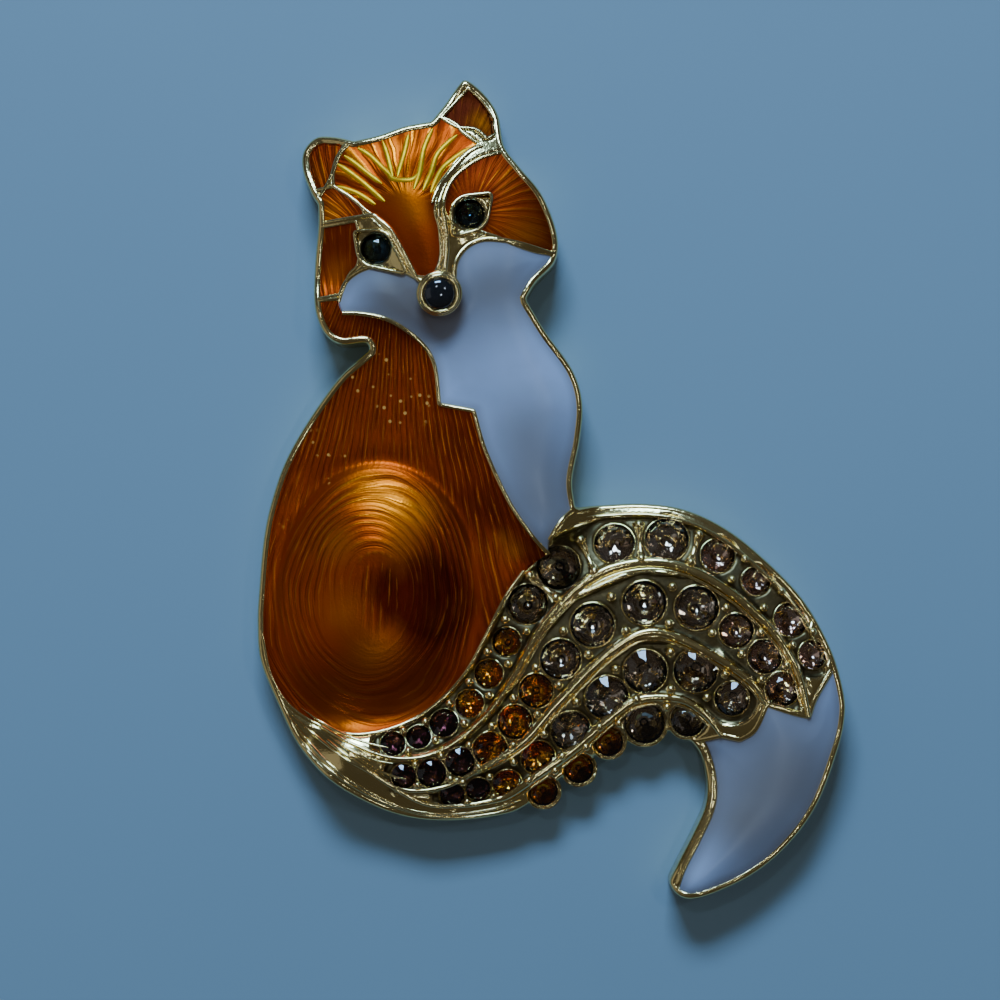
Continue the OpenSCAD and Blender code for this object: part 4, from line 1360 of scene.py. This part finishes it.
    def haunch(self, spots):
        """The haunch's uneven rings, where strands take over, and how strongly all of it is carved."""
        core = haunch_round(spots) * self.HAUNCH_SPAN
        away = spots - place(HAUNCH_MIDDLE)
        aim = away / np.maximum(np.linalg.norm(away, axis=1), 0.5)[:, None]
        rings = core / self.RING_GAP * 2 * math.pi + aim @ np.array([5.0, -3.0]) * ease(core, 1, 6)
        rings += 2.5 * np.sin(core * 1.3 + spots[:, 0] * 0.5) + 1.5 * np.sin(spots[:, 1] * 0.9 - core)
        share = ease(haunch_round(spots), 0.99, 1.06) * ease(away[:, 1] + away[:, 0] * 0.5, -1.5, 3)
        share = np.maximum(share, 1 - ease(core, 1.5, 3.5))
        crossing = sum(np.exp(-((core - middle) / width) ** 2) for middle, width in self.CROSSINGS)
        facing = ease(aim @ np.array([-0.35, 0.94]), -0.3, 0.9)
        carved = (0.45 + np.maximum(0.55 * facing, 0.3 * ease(core, 7.5, 9.0))) * (1 - 0.85 * crossing)
        carved *= 1 - 0.75 * ease(core, 2.5, 3.5) * (1 - ease(core, 4.5, 5.5)) * (1 - 0.5 * facing)
        return rings, share, carved

    @staticmethod
    def blobs(places, spots):
        """The sum of soft round patches, 1 at most."""
        total = np.zeros(len(spots))
        for x, y, reach, strength in places:
            total += strength * np.exp(-(far(spots, place((x, y))) / reach) ** 2)
        return np.clip(total, 0, 1)


class BROOCH_OT_rays(bpy.types.Operator):
    """Lays the thin rays that break the surface of the forehead's enamel."""

    bl_idname = "brooch.rays"
    bl_label = "Forehead rays"

    SUNK = 0.02

    def execute(self, context):
        wires = []
        for table in RAYS:
            path = even(smooth_path(table), 0.12)
            wires.append(laid(path, tapered(path, size("ray"), 0.6), -self.SUNK))
        settle(wires_piece("forehead_rays", wires, ray_finish()), "gold_plate")
        return {"FINISHED"}


class BROOCH_OT_stones(bpy.types.Operator):
    """Sets the cut stones of the tail and the eyes, one piece for each tint."""

    bl_idname = "brooch.stones"
    bl_label = "Stones"

    # Heights of a stone one unit across: its girdle, its crown, and its back down to the point.
    GIRDLE, CROWN, BACK = 0.06, 0.15, 0.33
    # Radius of its table, of its crown's middle and of its back's middle.
    TABLE_RADIUS, CROWN_RADIUS, BACK_RADIUS = 0.28, 0.385, 0.2

    def execute(self, context):
        cut = self.cut()
        for tint in TINTS + ["eye"]:
            held = [stone for stone in stones() + eyes() if stone.tint == tint]
            piece = points_piece(tint + "_stones", [stone.spot for stone in held],
                                 [stone.wide for stone in held], [tilt_of(stone.lean) for stone in held])
            grow(piece, stone_tree(), Cut=cut, Glass=glass_finish(tint), Foil=foil_finish(tint))
            slot = "jet_glass" if tint == "eye" else tint + "_glass"
            settle(piece, slot, *[stone.name for stone in held])
        bpy.data.objects.remove(cut)
        return {"FINISHED"}

    def cut(self):
        """A round stone one unit across: table, stars, kites, girdle and back facets down to its point."""
        def ring(count, radius, height, shift=0.0):
            return [(radius * math.cos((k + shift) * 2 * math.pi / count),
                     radius * math.sin((k + shift) * 2 * math.pi / count), height) for k in range(count)]

        verts = (ring(8, self.TABLE_RADIUS, self.GIRDLE + self.CROWN)
                 + ring(8, self.CROWN_RADIUS, self.GIRDLE + self.CROWN * 0.52, 0.5)
                 + ring(16, 0.5, self.GIRDLE) + ring(16, 0.5, 0)
                 + ring(8, self.BACK_RADIUS, -self.BACK * 0.62, 0.5) + [(0, 0, -self.BACK)])
        crown, upper, lower, back, tip = 8, 16, 32, 48, 56
        front, foiled = [list(range(8))], []
        for i in range(8):
            n, p = (i + 1) % 8, (i - 1) % 8
            first, second, third = 2 * i, 2 * i + 1, (2 * i + 2) % 16
            front += [[i, crown + i, n], [i, crown + p, upper + first, crown + i],
                      [crown + i, upper + first, upper + second], [crown + i, upper + second, upper + third]]
            foiled += [[tip, back + i, lower + first, back + p], [back + i, lower + second, lower + first],
                       [back + i, lower + third, lower + second]]
        front += [[upper + i, lower + i, lower + (i + 1) % 16, upper + (i + 1) % 16] for i in range(16)]
        mesh = bpy.data.meshes.new("cut")
        mesh.from_pydata(verts, [], front + foiled)
        mesh.attributes.new("foil", "BOOLEAN", "FACE").data.foreach_set(
            "value", [False] * len(front) + [True] * len(foiled))
        return link("cut", mesh)


class BROOCH_OT_nose(bpy.types.Operator):
    """Builds the black nose ball and the gold ring round it."""

    bl_idname = "brooch.nose"
    bl_label = "Nose"

    # Height of the ball's shoulder and of its dome, and its foot's rows: share of radius and height.
    SHOULDER, DOME = 0.32, 0.52
    FOOT = [(0.98, 0.1), (0.9, -0.25)]
    RING_WIRE = 0.2

    def execute(self, context):
        spot, radius = place(NOSE), size("nose") / 2
        turn = np.array(tilt_of(lean_at(spot, radius)).to_matrix()).T
        foot = (*spot, raw_face(spot[None])[0])
        dome = [(radius * math.cos(a) * 0.98, self.SHOULDER + self.DOME * math.sin(a))
                for a in np.radians([84, 74, 64, 54, 44, 34, 24, 14, 5])]
        verts, faces = lathe(dome + [(radius * share, height) for share, height in self.FOOT], 48)
        settle(keep("nose_ball", verts @ turn + foot, faces, jet_finish()), "jet_glass", "nose")
        turns, reach = np.arange(60) * math.pi / 30, radius + 0.14
        ring = np.stack([reach * np.cos(turns), reach * np.sin(turns), np.full(60, 0.3)], 1)
        wires = [(path @ turn + foot, self.RING_WIRE, True)
                 for path in (ring, ring * (1.12, 1.12, 0) + (0, 0, 0.08))]
        settle(wires_piece("nose_ring", wires, gold_finish()), "gold_plate")
        return {"FINISHED"}


class BROOCH_OT_pin(bpy.types.Operator):
    """Gives the plain pin at the back its plated finish."""

    bl_idname = "brooch.pin"
    bl_label = "Pin"

    def execute(self, context):
        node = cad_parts["pin_back"]
        node.data.materials.clear()
        node.data.materials.append(pin_finish())
        return {"FINISHED"}


class BROOCH_OT_stage(bpy.types.Operator):
    """Sets the pale floor, the soft lights and the camera straight above the brooch."""

    bl_idname = "brooch.stage"
    bl_label = "Stage"

    # The middle of the view, the width it takes in, its plane and the camera's distance, in millimetres.
    VIEW_MIDDLE = (-3.73, -0.88)
    VIEW_WIDTH = 73.15
    VIEW_PLANE = 3.2
    VIEW_HEIGHT = 260
    # The camera's lean in degrees, and the width of its sensor.
    TILT = 1.0
    SENSOR = 36
    ROOM = (0.045, 0.045, 0.043, 1)
    # Half the floor's side, and how far it lies below the brooch.
    FLOOR_SIDE = 900
    FLOOR_LOW = -0.02
    # The lights: place, width and height in millimetres, power and colour.
    GLINT = (34, 26, 0.055, (0.7, 0.84, 1.0))
    LIGHTS = {
        "window": ((-55, 390, 352), 220, 130, 3.0, (0.35, 0.61, 1.0)),
        "wall": ((-420, -60, 300), 400, 400, 0.12, (0.8, 0.85, 0.9)),
        "glint_top": ((-60, 110, 380), *GLINT), "glint_low": ((60, -110, 390), *GLINT),
        "glint_right": ((150, 60, 360), *GLINT)}

    def execute(self, context):
        side, low = self.FLOOR_SIDE, self.FLOOR_LOW
        corners = [(-side, -side, low), (side, -side, low), (side, side, low), (-side, side, low)]
        keep("floor", corners, [[0, 1, 2, 3]], floor_finish(), smooth=False)
        for name, (spot, wide, tall, power, shade) in self.LIGHTS.items():
            data = bpy.data.lights.new(name, "AREA")
            data.shape, data.size, data.size_y = "RECTANGLE", wide * MM, tall * MM
            data.energy, data.color = power, shade
            lamp = link(name, data)
            lamp.location = Vector(spot) * MM
            lamp.rotation_euler = (-lamp.location).to_track_quat("-Z", "Y").to_euler()
        world = bpy.data.worlds.new("room")
        world.use_nodes = True
        world.node_tree.nodes["Background"].inputs["Color"].default_value = self.ROOM
        context.scene.world = world
        camera = link("camera", bpy.data.cameras.new("camera"))
        lean = math.radians(self.TILT)
        back = Vector((0, -math.sin(lean), math.cos(lean)))
        camera.location = Vector((*self.VIEW_MIDDLE, self.VIEW_PLANE)) * MM + back * self.VIEW_HEIGHT * MM
        camera.rotation_euler = (lean, 0, 0)
        camera.data.sensor_width = self.SENSOR
        camera.data.lens = self.SENSOR * self.VIEW_HEIGHT / self.VIEW_WIDTH
        camera.data.clip_start, camera.data.clip_end = 0.01, 10
        context.scene.camera = camera
        return {"FINISHED"}


class BROOCH_PT_panel(bpy.types.Panel):
    """Sizes, colours and pieces of the brooch's finish."""

    bl_label = "Fox Brooch"
    bl_idname = "BROOCH_PT_panel"
    bl_space_type = "VIEW_3D"
    bl_region_type = "UI"
    bl_category = "Brooch"

    def draw(self, context):
        for group in (context.scene.brooch_sizes, context.scene.brooch_colours):
            box = self.layout.box()
            for label in group.bl_rna.properties.keys():
                if label not in ("rna_type", "name"):
                    box.prop(group, label)
        for operator in OPERATORS:
            self.layout.operator(operator.bl_idname)


OPERATORS = (BROOCH_OT_casting, BROOCH_OT_wires, BROOCH_OT_grains, BROOCH_OT_enamel, BROOCH_OT_rays,
             BROOCH_OT_stones, BROOCH_OT_nose, BROOCH_OT_pin, BROOCH_OT_stage)
CLASSES = (BroochSizes, BroochColours, *OPERATORS, BROOCH_PT_panel)


def register():
    for cls in CLASSES:
        bpy.utils.register_class(cls)
    bpy.types.Scene.brooch_sizes = PointerProperty(type=BroochSizes)
    bpy.types.Scene.brooch_colours = PointerProperty(type=BroochColours)


def unregister():
    del bpy.types.Scene.brooch_colours
    del bpy.types.Scene.brooch_sizes
    for cls in reversed(CLASSES):
        bpy.utils.unregister_class(cls)


def main():
    register()
    for operator in OPERATORS:
        space, name = operator.bl_idname.split(".")
        getattr(getattr(bpy.ops, space), name)()
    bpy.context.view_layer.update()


if __name__ == "__main__":
    main()
